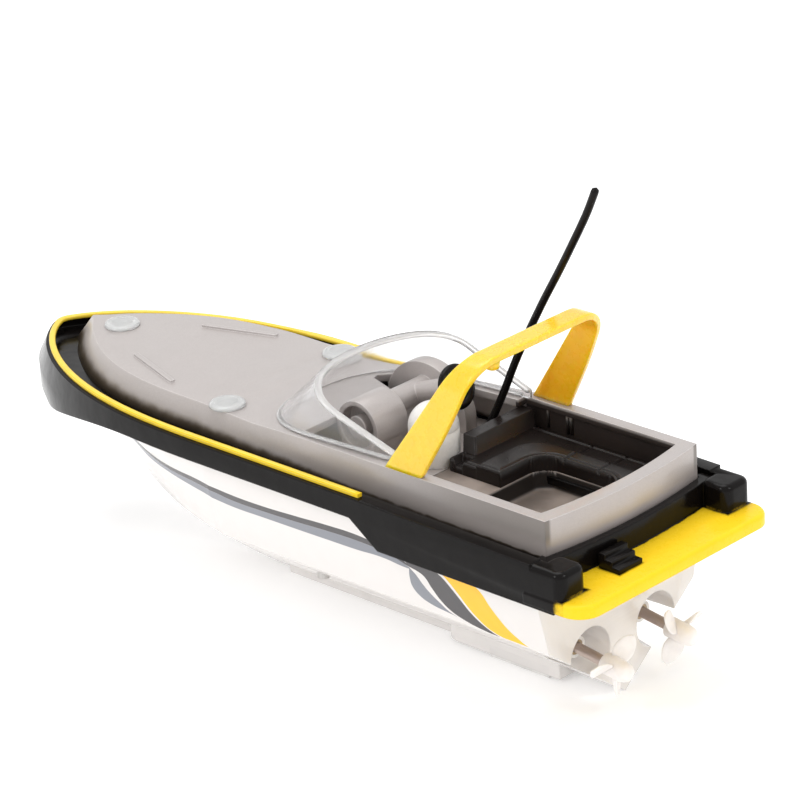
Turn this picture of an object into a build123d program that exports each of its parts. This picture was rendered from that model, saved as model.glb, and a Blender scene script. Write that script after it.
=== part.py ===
"""Small twin-screw remote-control speedboat, modelled in millimetres as separate pieces.

Frame: +X towards the bow, +Y to port, +Z up.  The origin is the middle of the bounding box,
at the height of the switch plate and keel strip on which the boat rests.
"""
from build123d import *
import math
import os

os.makedirs("parts", exist_ok=True)

# ---- Main sizes of the boat -------------------------------------------------------------
overall_length = 131.5       # bow tip to the aft edge of the stern platform
platform_beam = 41.8         # width over the stern platform, the widest place
gunwale_beam = 41.4          # width over the black gunwale
platform_overhang = 11.3     # platform edge behind the transom
bow_overhang = 6.0           # bow tip ahead of the top of the white stem
bow_length = 54.5            # length of the curved part of the gunwale plan
plan_power = 2.45            # how late the plan curve turns in towards the bow
bow_bluntness = 0.7          # below 1 rounds the tip of the gunwale plan

# ---- Hull shell -------------------------------------------------------------------------
hull_wall = 1.3
chine_beam = 31.6            # width over the chines
chine_height = 12.1
chine_rise = 11.0            # how far the chine climbs to the stem
chine_power = 1.3            # the chine turns in earlier than the hull's edge
keel_rise = 22.0             # how far the keel line climbs to the stem
keel_flat_lead = 0.8         # straight keel ahead of the point where the plan starts to curve
keel_power = 2.6             # how late the keel line climbs
stem_bluntness = 0.08        # width left at the stem, as a share of the beam
stem_solid = 4.0             # the stem is solid over this many wall thicknesses
keel_strip_width = 3.2
keel_strip_depth = 1.6
hull_top = 26.2              # height of the hull's edge inside the gunwale
screw_post_diameter = 4.4

# ---- Deck moulding ----------------------------------------------------------------------
deck_wall = 1.3
deck_plate = 0.8             # thickness of the flat deck over the hull's edge
sole_drop = 1.0              # the floor under the trays lies this far below the deck
sole_plate = 1.2             # thickness of that floor
sole_beam = 29.4
sole_lead = 2.6              # aft edge of that floor ahead of the transom
gasket_thickness = 0.4
gasket_width = 1.0
deck_fit = 0.15              # clearance of the hull inside the skirt
gunwale_height = 29.0
gunwale_height_aft = 28.4
gunwale_width = 2.4
gunwale_turn_low = 22.0      # below this height the band slopes in at the bow
gunwale_turn_high = 25.5     # and above this height too
gunwale_tip_inset = 2.4      # how far its top and bottom edges stand behind the tip
bead_width = 0.9
bead_height = 0.6
bead_inset = 0.7
bead_lead = 32.0             # aft end of the bead, ahead of the transom
skirt_low_aft = 22.0         # lower edge of the skirt along the stern part
skirt_low_mid = 25.8
skirt_low_bow = 19.0
skirt_step_lead = 33.4       # forward end of the deep stern skirt, ahead of the transom
skirt_slant = 5.4            # length of the slanted end of the deep skirt
skirt_dip_length = 42.0      # length over which the skirt deepens towards the bow
nose_floor = 1.5

# ---- Stern platform, rail, corner blocks and release tab --------------------------------
platform_thickness = 1.9
platform_top = 24.3
platform_corner = 3.6
rail_width = 2.0
rail_height = 3.7
rail_bow = 1.4               # how far the middle of the rail stands aft of its ends
knob_length = 5.2
knob_width = 5.6
knob_height = 4.1
knob_corner = 1.6
knob_gap = 1.9               # blocks behind the deck's aft face
tab_width = 5.0
tab_length = 3.9
tab_gap = 0.3                # tab behind the rail
tab_offset = 6.6             # middle of the tab to port of the centre line
tab_steps = 3
tab_height = 2.4

# ---- Superstructure ---------------------------------------------------------------------
cabin_wall = 1.3
cabin_beam = 32.8            # width over the foot of the stern box
cabin_top_beam = 32.8        # and over its rim
cabin_waist = 31.2           # width over the foot of the foredeck
foredeck_beam = 26.4         # width at rim height, where the sloped sides would meet it
foredeck_turn = 5.0          # the foredeck's plan starts to curve this far ahead of the gunwale's
foredeck_power = 2.9         # how late the foredeck's plan turns in towards the bow
foredeck_drop = 1.45         # foredeck below the top of the stern box
foredeck_plate = 1.2
rim_height = 33.25           # top of the stern box
rim_width = 2.3              # width of its aft rim
rim_side = 1.9               # and of its side rims
rim_lead = 30.4              # length of the stern box ahead of the transom
rim_shoulder_lead = 47.5     # ahead of the transom, where the cockpit's sides start to fall faster
rim_shoulder_drop = 0.75
rim_slope = 11.0             # length over which they then fall to the foredeck's height
cabin_aft = 0.75             # corners of the stern box behind the transom
cabin_bow = 1.45             # middle of its aft wall behind its corners
cabin_tip = 7.0              # foot of the foredeck behind the bow tip
foredeck_tip = 12.2          # rim-height point of the foredeck behind the bow tip
cockpit_lead = 60.5          # foot of the windshield's front ahead of the transom
hatch_gap = 0.25             # front edge of the cockpit opening ahead of the round bar
notch_length = 6.0           # notch in that edge beside the wheel
notch_side = 5.8             # its inner corner to starboard of the centre line
notch_turn = 2.4             # its front corner farther to starboard
notch_skew = 1.8             # its front edge runs this far forward towards the side
boss_diameter = 5.2
boss_bore = 3.6
boss_floor = 1.0

# ---- Windshield, roll arch and antenna --------------------------------------------------
screen_wall = 1.0
screen_base_beam = 28.6
screen_rim_beam = 30.4       # the screen's sides lean outwards a little
screen_length = 31.4
screen_height = 8.8
screen_rake = 9.2            # the top edge stands this far behind the foot
screen_base_reach = 15.0     # length of the rounded front in plan, at the foot
screen_rim_reach = 12.0      # and at the rim
screen_base_power = 2.6      # squareness of the rounded front at the foot
screen_rim_power = 2.1       # and at the rim
screen_ledge = 0.5           # foredeck edge inside the screen
screen_sweep = 12.0          # the rim's sweep passes its middle point this far behind its top
screen_end_height = 1.2      # top of the screen's aft ends above the stern box
arch_lead = 22.8             # aft edge of the arch's feet, ahead of the transom
arch_foot_length = 7.1
arch_top_length = 3.5
arch_lean = 9.5              # aft edge of the top behind the aft edge of the feet
arch_back_bow = 0.45         # the aft edge's middle stands this far behind a straight line
arch_height = 18.75
arch_foot_beam = 32.8
arch_top_beam = 28.8
arch_thickness = 1.1
arch_corner = 5.5
arch_nub = 1.2
arch_nub_inset = 6.2         # nub from the top's port edge
whip_diameter = 1.2
whip_tip_diameter = 1.3
whip_lead = 34.6             # root of the antenna ahead of the transom
whip_side = 9.6              # root to starboard of the centre line
whip_top = 72.0
whip_lean = 24.0             # the tip stands this far aft of the root
whip_bend = 0.4
grommet_diameter = 4.4
grommet_height = 1.4

# ---- Cockpit floor, stern tray and their fittings ---------------------------------------
flange_thickness = 0.8       # plates of both trays, lying on the inner deck
tray_gap = 0.2               # clearance between the trays, the deck opening and the walls
tray_length = 28.5
pan_wall = 1.0
well_depth = 3.4             # well floor below the floor under the trays
well_aft = 2.0               # the pan starts this far ahead of the tray's aft edge
well_length = 22.0
well_port = 11.5
well_starboard = 6.0
well_corner = 3.0
bench_height = 1.7
bench_back = 4.6             # height of the bench's forward wall
bench_back_thickness = 2.4
bench_port = -1.3            # port end of the forward wall
bench_step = 4.6             # the bench reaches this far beyond it
bench_length = 6.0           # depth of the bench along the forward wall
roll_radius = 4.05           # round bar across the port half of the cockpit
roll_lead = 45.35
roll_height = 4.4            # its axis above the floor
roll_port = 6.0              # its port end
roll_starboard = -0.5        # its other end, where the neck starts
roll_core = 1.7
roll_hollow = 2.0
neck_radius = 2.0            # thinner bar to starboard, which carries the wheel
neck_height = 5.6
neck_starboard = -8.6        # its far end, where the side disc starts
disc_radius = 8.1            # upright disc at the neck's starboard end
disc_height = 1.6            # its middle above the floor
disc_thickness = 2.4
boot_radius = 1.6            # round boot of the wheel's column
boot_length = 5.4            # its length outside the neck
dash_length = 11.0
dash_rise = 3.0
dash_beam = 22.0
dome_radius = 3.8
dome_stem = 5.4
dome_lead = 35.15
dome_side = 0.45
wheel_diameter = 7.0
wheel_rim = 1.4
wheel_tilt = 70.0            # angle of the column to the vertical
wheel_side = 6.4
column_diameter = 1.6
column_length = 1.8
cap_diameter = 5.6
cap_height = 0.7
cap_plug = 1.6
cap_fit = 0.1
cap_side = 12.1
cap_lead = 66.5              # side caps ahead of the transom
bow_cap_back = 17.7          # bow cap behind the bow tip
ridge_width = 0.8
ridge_height = 0.4
ridge_length = 13.0
ridge_lead = 85.5            # middle of the ridges ahead of the transom
ridge_side = 9.2
ridge_turn = 18.0            # angle of each ridge to the centre line

# ---- Drive ------------------------------------------------------------------------------
shaft_side = 7.1             # each shaft's distance from the centre line
shaft_angle = 8.0
hub_height = 8.1
hub_back = 4.3               # propeller hub behind the transom
shaft_diameter = 1.6
running_clearance = 0.03     # radial, shaft in bush and spindle in motor
propeller_diameter = 10.6
blade_count = 3
blade_thickness = 0.8
blade_pitch_angle = 38.0
hub_diameter = 3.2
hub_length = 4.4
tube_diameter = 3.4
tube_bore = 2.4
tube_start = 7.0             # aft end of the tube ahead of the hub centre, along the shaft
tube_length = 16.0
bush_length = 3.0
tunnel_radius = 4.2
tunnel_length = 12.0
coupling_diameter = 4.0
coupling_length = 7.0
coupling_gap = 1.0           # tube end to coupling, and coupling to motor
spindle_diameter = 1.0
motor_diameter = 7.0
motor_length = 16.0
motor_wall = 0.5
motor_cap_length = 1.6
rotor_gap = 0.4
cradle_length = 9.0
strap_thickness = 1.0
strap_width = 5.0
screw_diameter = 1.6
screw_head = 3.0
screw_head_height = 1.0
screw_reach = 8.0            # depth of the deck screws' bores below the inner deck
cradle_screw_depth = 4.0

# ---- Electrics --------------------------------------------------------------------------
cell_diameter = 8.6
cell_length = 17.8
cell_count = 3
cell_gap = 0.1
cell_wrap = 0.3
battery_lead = 45.9          # aft end of the battery ahead of the transom
battery_height = 11.6        # underside of the battery above the keel
saddle_width = 3.0
board_length = 15.0
board_width = 20.0
board_thickness = 1.0
board_lead = 3.8             # aft end of the board ahead of the start of the bow's curve
board_height = 14.0
board_screw_reach = 3.5      # depth of the board screws in their posts
post_diameter = 3.0
chip_length = 5.0
chip_width = 4.0
chip_height = 1.2
crystal_length = 4.4
crystal_diameter = 1.6
contact_diameter = 2.0
contact_head = 3.0
contact_side = 8.5
contact_lead = 52.0
contact_proud = 0.3

# ---- Keel pod with the power switch and the charging socket -----------------------------
pod_width = 8.0
pod_lead = 9.0               # aft end of the pod ahead of the transom
pod_length = 23.6
pod_lift = 0.5               # underside of the pod above the resting plane
pod_nose = 4.0               # radius of the rounded front
plate_length = 11.6
plate_lead = 2.2             # aft end of the plate ahead of the pod's aft end
plate_thickness = 1.4
plate_fit = 0.1
switch_length = 7.0
switch_width = 3.6
switch_depth = 3.6
slider_length = 2.4
slider_width = 1.6
slider_travel = 2.0
slider_gap = 0.3
slider_sunk = 0.3            # the slider's thumb face above the plate's underside

# ---- Charging socket in the transom -----------------------------------------------------
socket_height = 17.0         # its axis above the resting plane
socket_diameter = 4.0
socket_bore = 2.4
socket_length = 6.0
pin_diameter = 0.8
pin_length = 4.0
plug_flange = 5.2
plug_thickness = 0.8
plug_stem = 1.2              # how far the plug reaches into the socket

# ---- Places that follow from the sizes --------------------------------------------------
bow_x = overall_length / 2
stern_x = -overall_length / 2
transom_x = stern_x + platform_overhang
plan_start = bow_x - bow_length
stem_x = bow_x - bow_overhang
gunwale_half = gunwale_beam / 2
hull_half = gunwale_half - deck_wall - deck_fit
step_x = transom_x + skirt_step_lead
cabin_x = transom_x - cabin_aft
rim_x = transom_x + rim_lead
foredeck_height = rim_height - foredeck_drop
rim_shoulder_height = rim_height - rim_shoulder_drop
shoulder_x = transom_x + rim_shoulder_lead
cockpit_x = transom_x + cockpit_lead
deck_top = hull_top + gasket_thickness + deck_plate
sole_top = deck_top - sole_drop
floor_z = sole_top + flange_thickness
sole_x = transom_x + sole_lead
tray_x = sole_x + tray_gap
tray_end = tray_x + tray_length
tray_half = sole_beam / 2 - tray_gap
roll_x = transom_x + roll_lead
hatch_x = roll_x + roll_radius + hatch_gap
sole_end = cockpit_x + 2.0
drive_sides = {"port": 1, "starboard": -1}


def box(x0, x1, y0, y1, z0, z1):
    """Block between two corners."""
    return Pos((x0 + x1) / 2, (y0 + y1) / 2, (z0 + z1) / 2) * Box(x1 - x0, y1 - y0, z1 - z0)


def rod(start, direction, length, radius):
    """Cylinder from start along direction."""
    plane = Plane(origin=start, z_dir=direction)
    return extrude(plane * Circle(radius), length)


def side_prism(points, half_width):
    """Prism across the boat from a side-view outline given as (x, z) points."""
    outline = make_face(Polyline(*points, close=True))
    return extrude(Plane.XZ * outline, half_width, both=True)


def half_breadth(x, half, start, tip, power, bluntness=1.0):
    """Plan curve: straight to start, then a power curve that closes at the tip."""
    run = min(max((x - start) / (tip - start), 0.0), 1.0)
    return half * (1 - run ** power) ** bluntness


def plan_face(aft, shoulder, half, start, tip, power=plan_power, bluntness=1.0, stern_bow=0.0):
    """Plan outline: stern line, two straight side lines, then a curved bow.

    aft and shoulder are (x, half-breadth) points, half is the half-breadth where the bow starts.
    The middle of the stern line stands stern_bow aft of its ends.
    """
    stations = [start + (tip - start) * run for run in (0.3, 0.5, 0.68, 0.82, 0.92, 0.98)]
    side = [(x, half_breadth(x, half, start, tip, power, bluntness)) for x in stations]
    mirrored = [(x, -y) for x, y in reversed(side)]
    bow = Spline((start, half), *side, (tip, 0), *mirrored, (start, -half), tangents=[(1, 0), (-1, 0)])
    ends = [(aft[0], -aft[1]), aft]
    stern = ThreePointArc(ends[0], (aft[0] - stern_bow, 0), ends[1]) if stern_bow else Line(*ends)
    starboard = Polyline((start, -half), (shoulder[0], -shoulder[1]), ends[0])
    return make_face([bow, starboard, stern, Polyline(aft, shoulder, (start, half))])


def plan_prism(face, low, high):
    """The plan outline extruded between two heights."""
    return extrude(Pos(0, 0, low) * face, high - low)


def gunwale_plan(inset, aft_x=transom_x):
    """Outline of the gunwale, moved inwards by inset."""
    half = gunwale_half - inset
    return plan_face((aft_x, half), (step_x, half), half, plan_start, bow_x - inset, plan_power, bow_bluntness)


def cabin_plan(inset, foot):
    """Outline of the superstructure at its foot or at rim height, moved inwards by inset."""
    aft = (cabin_beam if foot else cabin_top_beam) / 2 - inset
    half = (cabin_waist if foot else foredeck_beam) / 2 - inset
    tip = bow_x - (cabin_tip if foot else foredeck_tip) - 1.5 * inset
    aft_x = cabin_x + (rim_width if inset > 0 else inset)
    return plan_face((aft_x, aft), (rim_x, aft), half, plan_start + foredeck_turn, tip, foredeck_power,
                     stern_bow=cabin_bow)


def hull_section(x, grow, top):
    """Keel, chine and top points of the hull's cross-section on one side."""
    run = min(max((x - plan_start) / (stem_x - plan_start), 0.0), 1.0)
    keel_run = max((x - plan_start - keel_flat_lead) / (stem_x - plan_start - keel_flat_lead), 0.0)
    keel = keel_rise * min(keel_run, 1.0) ** keel_power
    narrow = max(1 - run ** plan_power, stem_bluntness)
    narrow_chine = max(1 - run ** chine_power, stem_bluntness)
    chine = chine_height + chine_rise * run ** 2
    points = [(0.0, keel), (chine_beam / 2 * narrow_chine, chine), (hull_half * narrow, top)]
    return shift_section(points, grow)


def shift_section(points, grow):
    """Move the two straight lines of a section outwards by grow, keeping the height of its top."""
    (y0, z0), (y1, z1), (y2, z2) = points
    deadrise = math.atan2(z1 - z0, y1 - y0)
    flare = math.atan2(z2 - z1, y2 - y1)
    keel = z0 - grow / math.cos(deadrise)
    top = y2 + grow / math.sin(flare)
    slope_low, slope_high = math.tan(deadrise), math.tan(flare)
    chine_y = (z2 - keel - slope_high * top) / (slope_low - slope_high)
    return [(0.0, keel), (chine_y, keel + slope_low * chine_y), (top, z2)]


def section_face(x, grow, top):
    """Closed cross-section of the hull at station x."""
    keel, chine, edge = hull_section(x, grow, top)
    points = [keel, chine, edge, (-edge[0], edge[1]), (-chine[0], chine[1])]
    plane = Plane(origin=(x, 0, 0), x_dir=(0, 1, 0), z_dir=(1, 0, 0))
    return plane * make_face(Polyline(*points, close=True))


def hull_body(grow, top, aft_x):
    """Solid of the hull's outer form, moved outwards by grow."""
    middle = extrude(section_face(plan_start, grow, top), -(plan_start - aft_x))
    tip = stem_x + (stem_solid * grow if grow < 0 else grow)
    stations = [plan_start + (tip - plan_start) * run for run in (0, 0.25, 0.45, 0.62, 0.77, 0.9, 1.0)]
    bow = loft([section_face(x, grow, top) for x in stations])
    return middle + bow


def shaft_point(side, distance):
    """Point on a shaft's axis at a distance ahead of the propeller's centre."""
    angle = math.radians(shaft_angle)
    return Vector(transom_x - hub_back + distance * math.cos(angle), side * shaft_side,
                  hub_height + distance * math.sin(angle))


def shaft_direction():
    """Direction of both shafts, forward and up."""
    angle = math.radians(shaft_angle)
    return Vector(math.cos(angle), 0, math.sin(angle))


def shaft_rod(side, start, end, radius):
    """Cylinder on a shaft's axis between two distances from the propeller's centre."""
    return rod(shaft_point(side, start), shaft_direction(), end - start, radius)


tube_end = tube_start + tube_length
coupling_start = tube_end + coupling_gap
coupling_end = coupling_start + coupling_length
motor_start = coupling_end + coupling_gap
motor_end = motor_start + motor_length
cavity_top = hull_top + 1.0
cavity = hull_body(-hull_wall, cavity_top, transom_x + hull_wall)


def tunnel(side, extra):
    """Round recess around a shaft in the stern, with extra added all round."""
    return shaft_rod(side, -2 * hub_back, tunnel_length + extra, tunnel_radius + extra)


pod_x = transom_x + pod_lead
pod_end = pod_x + pod_length
plate_x = pod_x + plate_lead
plate_end = plate_x + plate_length
plate_top = pod_lift + plate_thickness
pod_roof = plate_top + switch_depth + hull_wall
battery_x = transom_x + battery_lead
board_x = plan_start + board_lead
saddle_places = (battery_x + 1.0, battery_x + cell_length - saddle_width - 1.0)
cell_pitch = cell_diameter + cell_gap
battery_z = battery_height + cell_wrap + cell_diameter / 2
board_posts = [(board_x + end, side) for end in (post_diameter, board_length - post_diameter)
               for side in (-board_width / 4, board_width / 4)]
deck_screws_at = [(bow_x - bow_cap_back, 0.0), (transom_x + cap_lead, cap_side), (transom_x + cap_lead, -cap_side)]
cradle_middle = motor_start + motor_length / 2
cradle_x = shaft_point(1, cradle_middle).X
cradle_z = shaft_point(1, cradle_middle).Z
well_x = tray_x + well_aft
well_end = well_x + well_length


# ---- Hull and keel pod ------------------------------------------------------------------
def pod_outline(shrink):
    """Plan of the keel pod with its rounded front, moved inwards by shrink."""
    half = pod_width / 2 - shrink
    block = Pos((pod_x + pod_end) / 2, 0, 0) * Rectangle(pod_length - 2 * shrink, 2 * half)
    front = block.vertices().group_by(Axis.X)[-1]
    return fillet(front, min(pod_nose, half) * 0.9)


def post(x, y, top, radius):
    """Upright post from the hull's floor."""
    stem = rod((x, y, 0), (0, 0, 1), top, radius)
    return stem & hull_body(-hull_wall / 2, top, transom_x + hull_wall)


def make_lower_hull():
    """White V-bottomed shell with keel strip, hollow pod, shaft tunnels and mounting posts."""
    strip_end = plan_start + keel_flat_lead
    strip = box(pod_end - pod_nose, strip_end, -keel_strip_width / 2, keel_strip_width / 2, 0, keel_strip_depth)
    pod = plan_prism(pod_outline(0), pod_lift, pod_roof)
    shell = hull_body(0, hull_top, transom_x) + strip + pod
    inside = cavity
    for side in drive_sides.values():
        shell -= tunnel(side, 0)
        inside -= tunnel(side, hull_wall)
        inside -= shaft_rod(side, tunnel_length - 2, tube_end - 3, tube_diameter / 2 + hull_wall)
    inside -= plan_prism(pod_outline(0), 0, pod_roof)
    shell -= inside
    shell -= plan_prism(pod_outline(hull_wall), plate_top, plate_top + switch_depth)
    shell -= box(plate_x, plate_end, plate_fit - pod_width / 2, pod_width / 2 - plate_fit, -1, plate_top)
    shell -= rod((transom_x - 1, 0, socket_height), (1, 0, 0), hull_wall + 2, socket_diameter / 2)
    for side in drive_sides.values():
        shell -= shaft_rod(side, tube_start - 1, tube_end + 1, tube_diameter / 2)
        shell -= rod((transom_x + contact_lead, side * contact_side, -1), (0, 0, 1), hull_top, contact_diameter / 2)
    for x, y in board_posts:
        shell += post(x, y, board_height, post_diameter / 2)
        shell -= rod((x, y, board_height - 4), (0, 0, 1), 5, screw_diameter / 2)
    for x, y in deck_screws_at:
        shell += post(x, y, deck_top - deck_plate, screw_post_diameter / 2)
        shell -= rod((x, y, deck_top - screw_reach), (0, 0, 1), screw_reach, screw_diameter / 2)
    return shell


def make_switch_plate():
    """Flat plate that closes the pod's underside, with the slot for the switch's slider."""
    half = pod_width / 2 - 2 * plate_fit
    plate = box(plate_x + plate_fit, plate_end - plate_fit, -half, half, 0, plate_top)
    slot = slider_length + slider_travel + 2 * slider_gap
    middle = (plate_x + plate_end) / 2
    return plate - box(middle - slot / 2, middle + slot / 2, -slider_width / 2 - slider_gap,
                       slider_width / 2 + slider_gap, -1, plate_top + 1)


def make_switch_body():
    """Slide switch in the pod, standing on the plate, with a groove for the slider's foot."""
    middle = (plate_x + plate_end) / 2
    body = box(middle - switch_length / 2, middle + switch_length / 2, -switch_width / 2, switch_width / 2,
               plate_top, plate_top + switch_depth - 0.3)
    groove = slider_length + slider_travel + 2 * slider_gap
    return body - box(middle - groove / 2, middle + groove / 2, -slider_width / 2 - slider_gap,
                      slider_width / 2 + slider_gap, plate_top - 1, plate_top + 1.5)


def make_switch_slider():
    """Ribbed thumb slider of the power switch, at the aft end of its travel."""
    middle = (plate_x + plate_end) / 2 - slider_travel / 2
    slider = box(middle - slider_length / 2, middle + slider_length / 2, -slider_width / 2, slider_width / 2,
                 slider_sunk, plate_top + 1.2)
    for step in (-1, 0, 1):
        groove = middle + step * slider_length / 4
        slider -= box(groove - 0.15, groove + 0.15, -slider_width, slider_width, slider_sunk - 1, slider_sunk + 0.25)
    return slider


def make_charge_socket():
    """Round charging socket through the transom, with a flange against its inner face."""
    socket = rod((transom_x, 0, socket_height), (1, 0, 0), socket_length, socket_diameter / 2 - 0.02)
    flange_x = transom_x + hull_wall
    socket += rod((flange_x, 0, socket_height), (1, 0, 0), socket_length - hull_wall, plug_flange / 2)
    return socket - rod((transom_x - 1, 0, socket_height), (1, 0, 0), socket_length, socket_bore / 2)


def make_socket_pin():
    """Centre contact of the charging socket."""
    start = transom_x + socket_length - 1 - pin_length
    return rod((start, 0, socket_height), (1, 0, 0), pin_length, pin_diameter / 2)


def make_charge_plug():
    """Soft plug that closes the charging socket."""
    head = rod((transom_x - plug_thickness, 0, socket_height), (1, 0, 0), plug_thickness, plug_flange / 2)
    head = fillet(head.edges().group_by(Axis.X)[0], plug_thickness / 2)
    stem = rod((transom_x, 0, socket_height), (1, 0, 0), plug_stem, socket_bore / 2 - 0.02)
    bore = rod((transom_x + 0.1, 0, socket_height), (1, 0, 0), plug_stem, pin_diameter / 2 + 0.3)
    return head + stem - bore


def make_water_contacts():
    """Two metal studs through the hull's bottom that sense the water."""
    studs = Part()
    for side in drive_sides.values():
        x, y = transom_x + contact_lead, side * contact_side
        floor = hull_section(x, 0, hull_top)[1][1] * contact_side / hull_section(x, 0, hull_top)[1][0]
        studs += rod((x, y, floor - contact_proud), (0, 0, 1), contact_proud + 2 * hull_wall + 1, contact_diameter / 2)
    return studs


# ---- Deck -------------------------------------------------------------------------------
def skirt_outline():
    """Side view of the deck moulding, from the skirt's lower edge to the gunwale's top."""
    slant_x = step_x - skirt_slant
    dip_x = bow_x - skirt_dip_length
    edge = Spline((dip_x, skirt_low_mid), (bow_x - skirt_dip_length / 3, (skirt_low_mid + 2 * skirt_low_bow) / 3),
                  (bow_x, skirt_low_bow), tangents=[(1, 0), (1, -0.02)])
    rest = Polyline((bow_x, skirt_low_bow), (bow_x, gunwale_height), (step_x, gunwale_height),
                    (stern_x, gunwale_height_aft), (stern_x, skirt_low_aft), (slant_x, skirt_low_aft),
                    (step_x, skirt_low_mid), (dip_x, skirt_low_mid))
    return extrude(Plane.XZ * make_face([edge, rest]), platform_beam, both=True)


def make_deck_moulding():
    """Black deck with skirt, gunwale bead, sunken floor, stern platform, rail and corner blocks."""
    low, high = skirt_low_bow - 1, gunwale_height + 1
    aft_x = transom_x - deck_wall - deck_fit
    full = gunwale_plan(0, aft_x)
    small = plan_face((aft_x, gunwale_half), (step_x, gunwale_half), gunwale_half, plan_start,
                      bow_x - gunwale_tip_inset, plan_power, bow_bluntness)
    levels = [(low, small), (gunwale_turn_low, full), (gunwale_turn_high, full), (gunwale_height, small)]
    band = Part()
    for (z0, face0), (z1, face1) in zip(levels, levels[1:]):
        band += loft([Pos(0, 0, z0) * face0, Pos(0, 0, z1) * face1], ruled=True)
    deck = band & skirt_outline()
    deck -= plan_prism(gunwale_plan(gunwale_width, aft_x - 1), deck_top, high)
    deck -= hull_body(deck_fit, hull_top + gasket_thickness, transom_x - deck_fit)
    deck += box(sole_x - deck_wall, sole_end + deck_wall, -sole_beam / 2 - deck_wall, sole_beam / 2 + deck_wall,
                sole_top - sole_plate, deck_top)
    deck -= box(sole_x, sole_end, -sole_beam / 2, sole_beam / 2, sole_top, high)
    nose = plan_prism(gunwale_plan(1.5 * deck_wall), skirt_low_bow + nose_floor, hull_top)
    deck -= nose & box(stem_x + 2 * deck_fit, bow_x, -gunwale_half, gunwale_half, low, high)
    bead = plan_prism(bead_plan(0), gunwale_height - 0.1, gunwale_height + bead_height)
    bead -= plan_prism(bead_plan(bead_width), low, high)
    deck += bead & box(bead_end_x, bow_x, -gunwale_half, gunwale_half, low, high)
    deck -= box(well_x - tray_gap, well_end + tray_gap, -well_starboard - tray_gap, well_port + tray_gap, low, high)
    deck += stern_platform()
    deck -= plan_prism(cabin_plan(-deck_fit, True), deck_top, high)
    for x, y in deck_screws_at:
        deck -= rod((x, y, low), (0, 0, 1), high, screw_diameter / 2 + cap_fit)
    return deck


def bead_plan(inset):
    """Outline of the bead on the gunwale, moved inwards by inset."""
    half = gunwale_half - bead_inset - inset
    tip = bow_x - gunwale_tip_inset - bead_inset - inset
    return plan_face((transom_x, half), (step_x, half), half, plan_start, tip, plan_power, bow_bluntness)


def stern_platform():
    """Platform behind the transom with the bowed rail and the two corner blocks."""
    half = platform_beam / 2
    low = platform_top - platform_thickness
    face_x = transom_x - deck_fit
    slab = box(stern_x, face_x, -half, half, low, platform_top)
    slab = fillet(slab.edges().filter_by(Axis.Z).group_by(Axis.X)[0], platform_corner)
    slab = fillet(slab.edges().group_by(Axis.Z)[-1], platform_thickness * 0.35)
    rail_x = face_x - rail_width
    side = knob_side()
    rail_face = make_face([ThreePointArc((rail_x, -side), (rail_x - rail_bow, 0), (rail_x, side)),
                           Polyline((rail_x, side), (face_x, side), (face_x, -side), (rail_x, -side))])
    platform = slab + extrude(Pos(0, 0, platform_top - 1) * rail_face, rail_height + 1)
    block = box(-knob_length / 2, knob_length / 2, -knob_width / 2, knob_width / 2, platform_top - 1,
                platform_top + knob_height)
    block = fillet(block.edges().filter_by(Axis.Z), knob_corner)
    block = fillet(block.edges().group_by(Axis.Z)[-1], knob_corner * 0.6)
    arm_x = face_x - knob_gap - knob_length + knob_corner
    for sign in drive_sides.values():
        platform += Pos(face_x - knob_gap - knob_length / 2, sign * side, 0) * block
        inner, outer = sorted((sign * (gunwale_half - gunwale_width), sign * gunwale_half))
        arm = box(arm_x, transom_x - deck_fit, inner, outer, skirt_low_aft, platform_top + knob_height)
        top_edges = arm.edges().filter_by(Axis.X).group_by(Axis.Z)[-1]
        platform += fillet(top_edges.sort_by(Axis.Y)[-1 if sign > 0 else 0], knob_corner * 0.6)
    return platform


def knob_side():
    """Distance of each corner block's middle from the centre line."""
    return gunwale_half - knob_width / 2


def make_hull_gasket():
    """Flat seal between the hull's edge and the deck moulding."""
    inset = (hull_wall - gasket_width) / 2
    top = hull_top + gasket_thickness
    ring = hull_body(-inset, top, transom_x + inset) - hull_body(inset - hull_wall, top, transom_x + hull_wall - inset)
    return ring & box(transom_x, bow_x, -hull_half, hull_half, hull_top, top)


def make_release_tab():
    """Ribbed tab behind the rail that releases the superstructure."""
    half = tab_width / 2
    aft = transom_x - deck_fit - rail_width - rail_bow - tab_gap - tab_length
    step = tab_length / tab_steps
    tab = Part()
    for index in range(tab_steps):
        height = tab_height * (index + 1) / tab_steps
        tab += box(aft + index * step, aft + tab_length, tab_offset - half, tab_offset + half,
                   platform_top, platform_top + height)
    return tab


def make_deck_screws():
    """Three screws through the superstructure's bosses and the deck into the hull's posts."""
    screws = Part()
    for x, y in deck_screws_at:
        head = deck_top + boss_floor
        screws += rod((x, y, deck_top - screw_reach + 0.5), (0, 0, 1), head - deck_top + screw_reach - 0.5,
                      screw_diameter / 2)
        screws += rod((x, y, head), (0, 0, 1), screw_head_height, screw_head / 2)
    return screws


# ---- Superstructure ---------------------------------------------------------------------
def cabin_loft(inset, low, high):
    """Solid of the superstructure between its foot and rim height, moved inwards by inset."""
    return loft([Pos(0, 0, low) * cabin_plan(inset, True), Pos(0, 0, high) * cabin_plan(inset, False)], ruled=True)


def cabin_side_view(drop, low):
    """Everything under the superstructure's top line lowered by drop."""
    aft_x = cabin_x - cabin_bow - 1
    return side_prism([(aft_x, low), (aft_x, rim_height - drop), (rim_x, rim_height - drop),
                       (shoulder_x, rim_shoulder_height - drop), (shoulder_x + rim_slope, foredeck_height - drop),
                       (bow_x, foredeck_height - drop), (bow_x, low)], cabin_beam)


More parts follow.
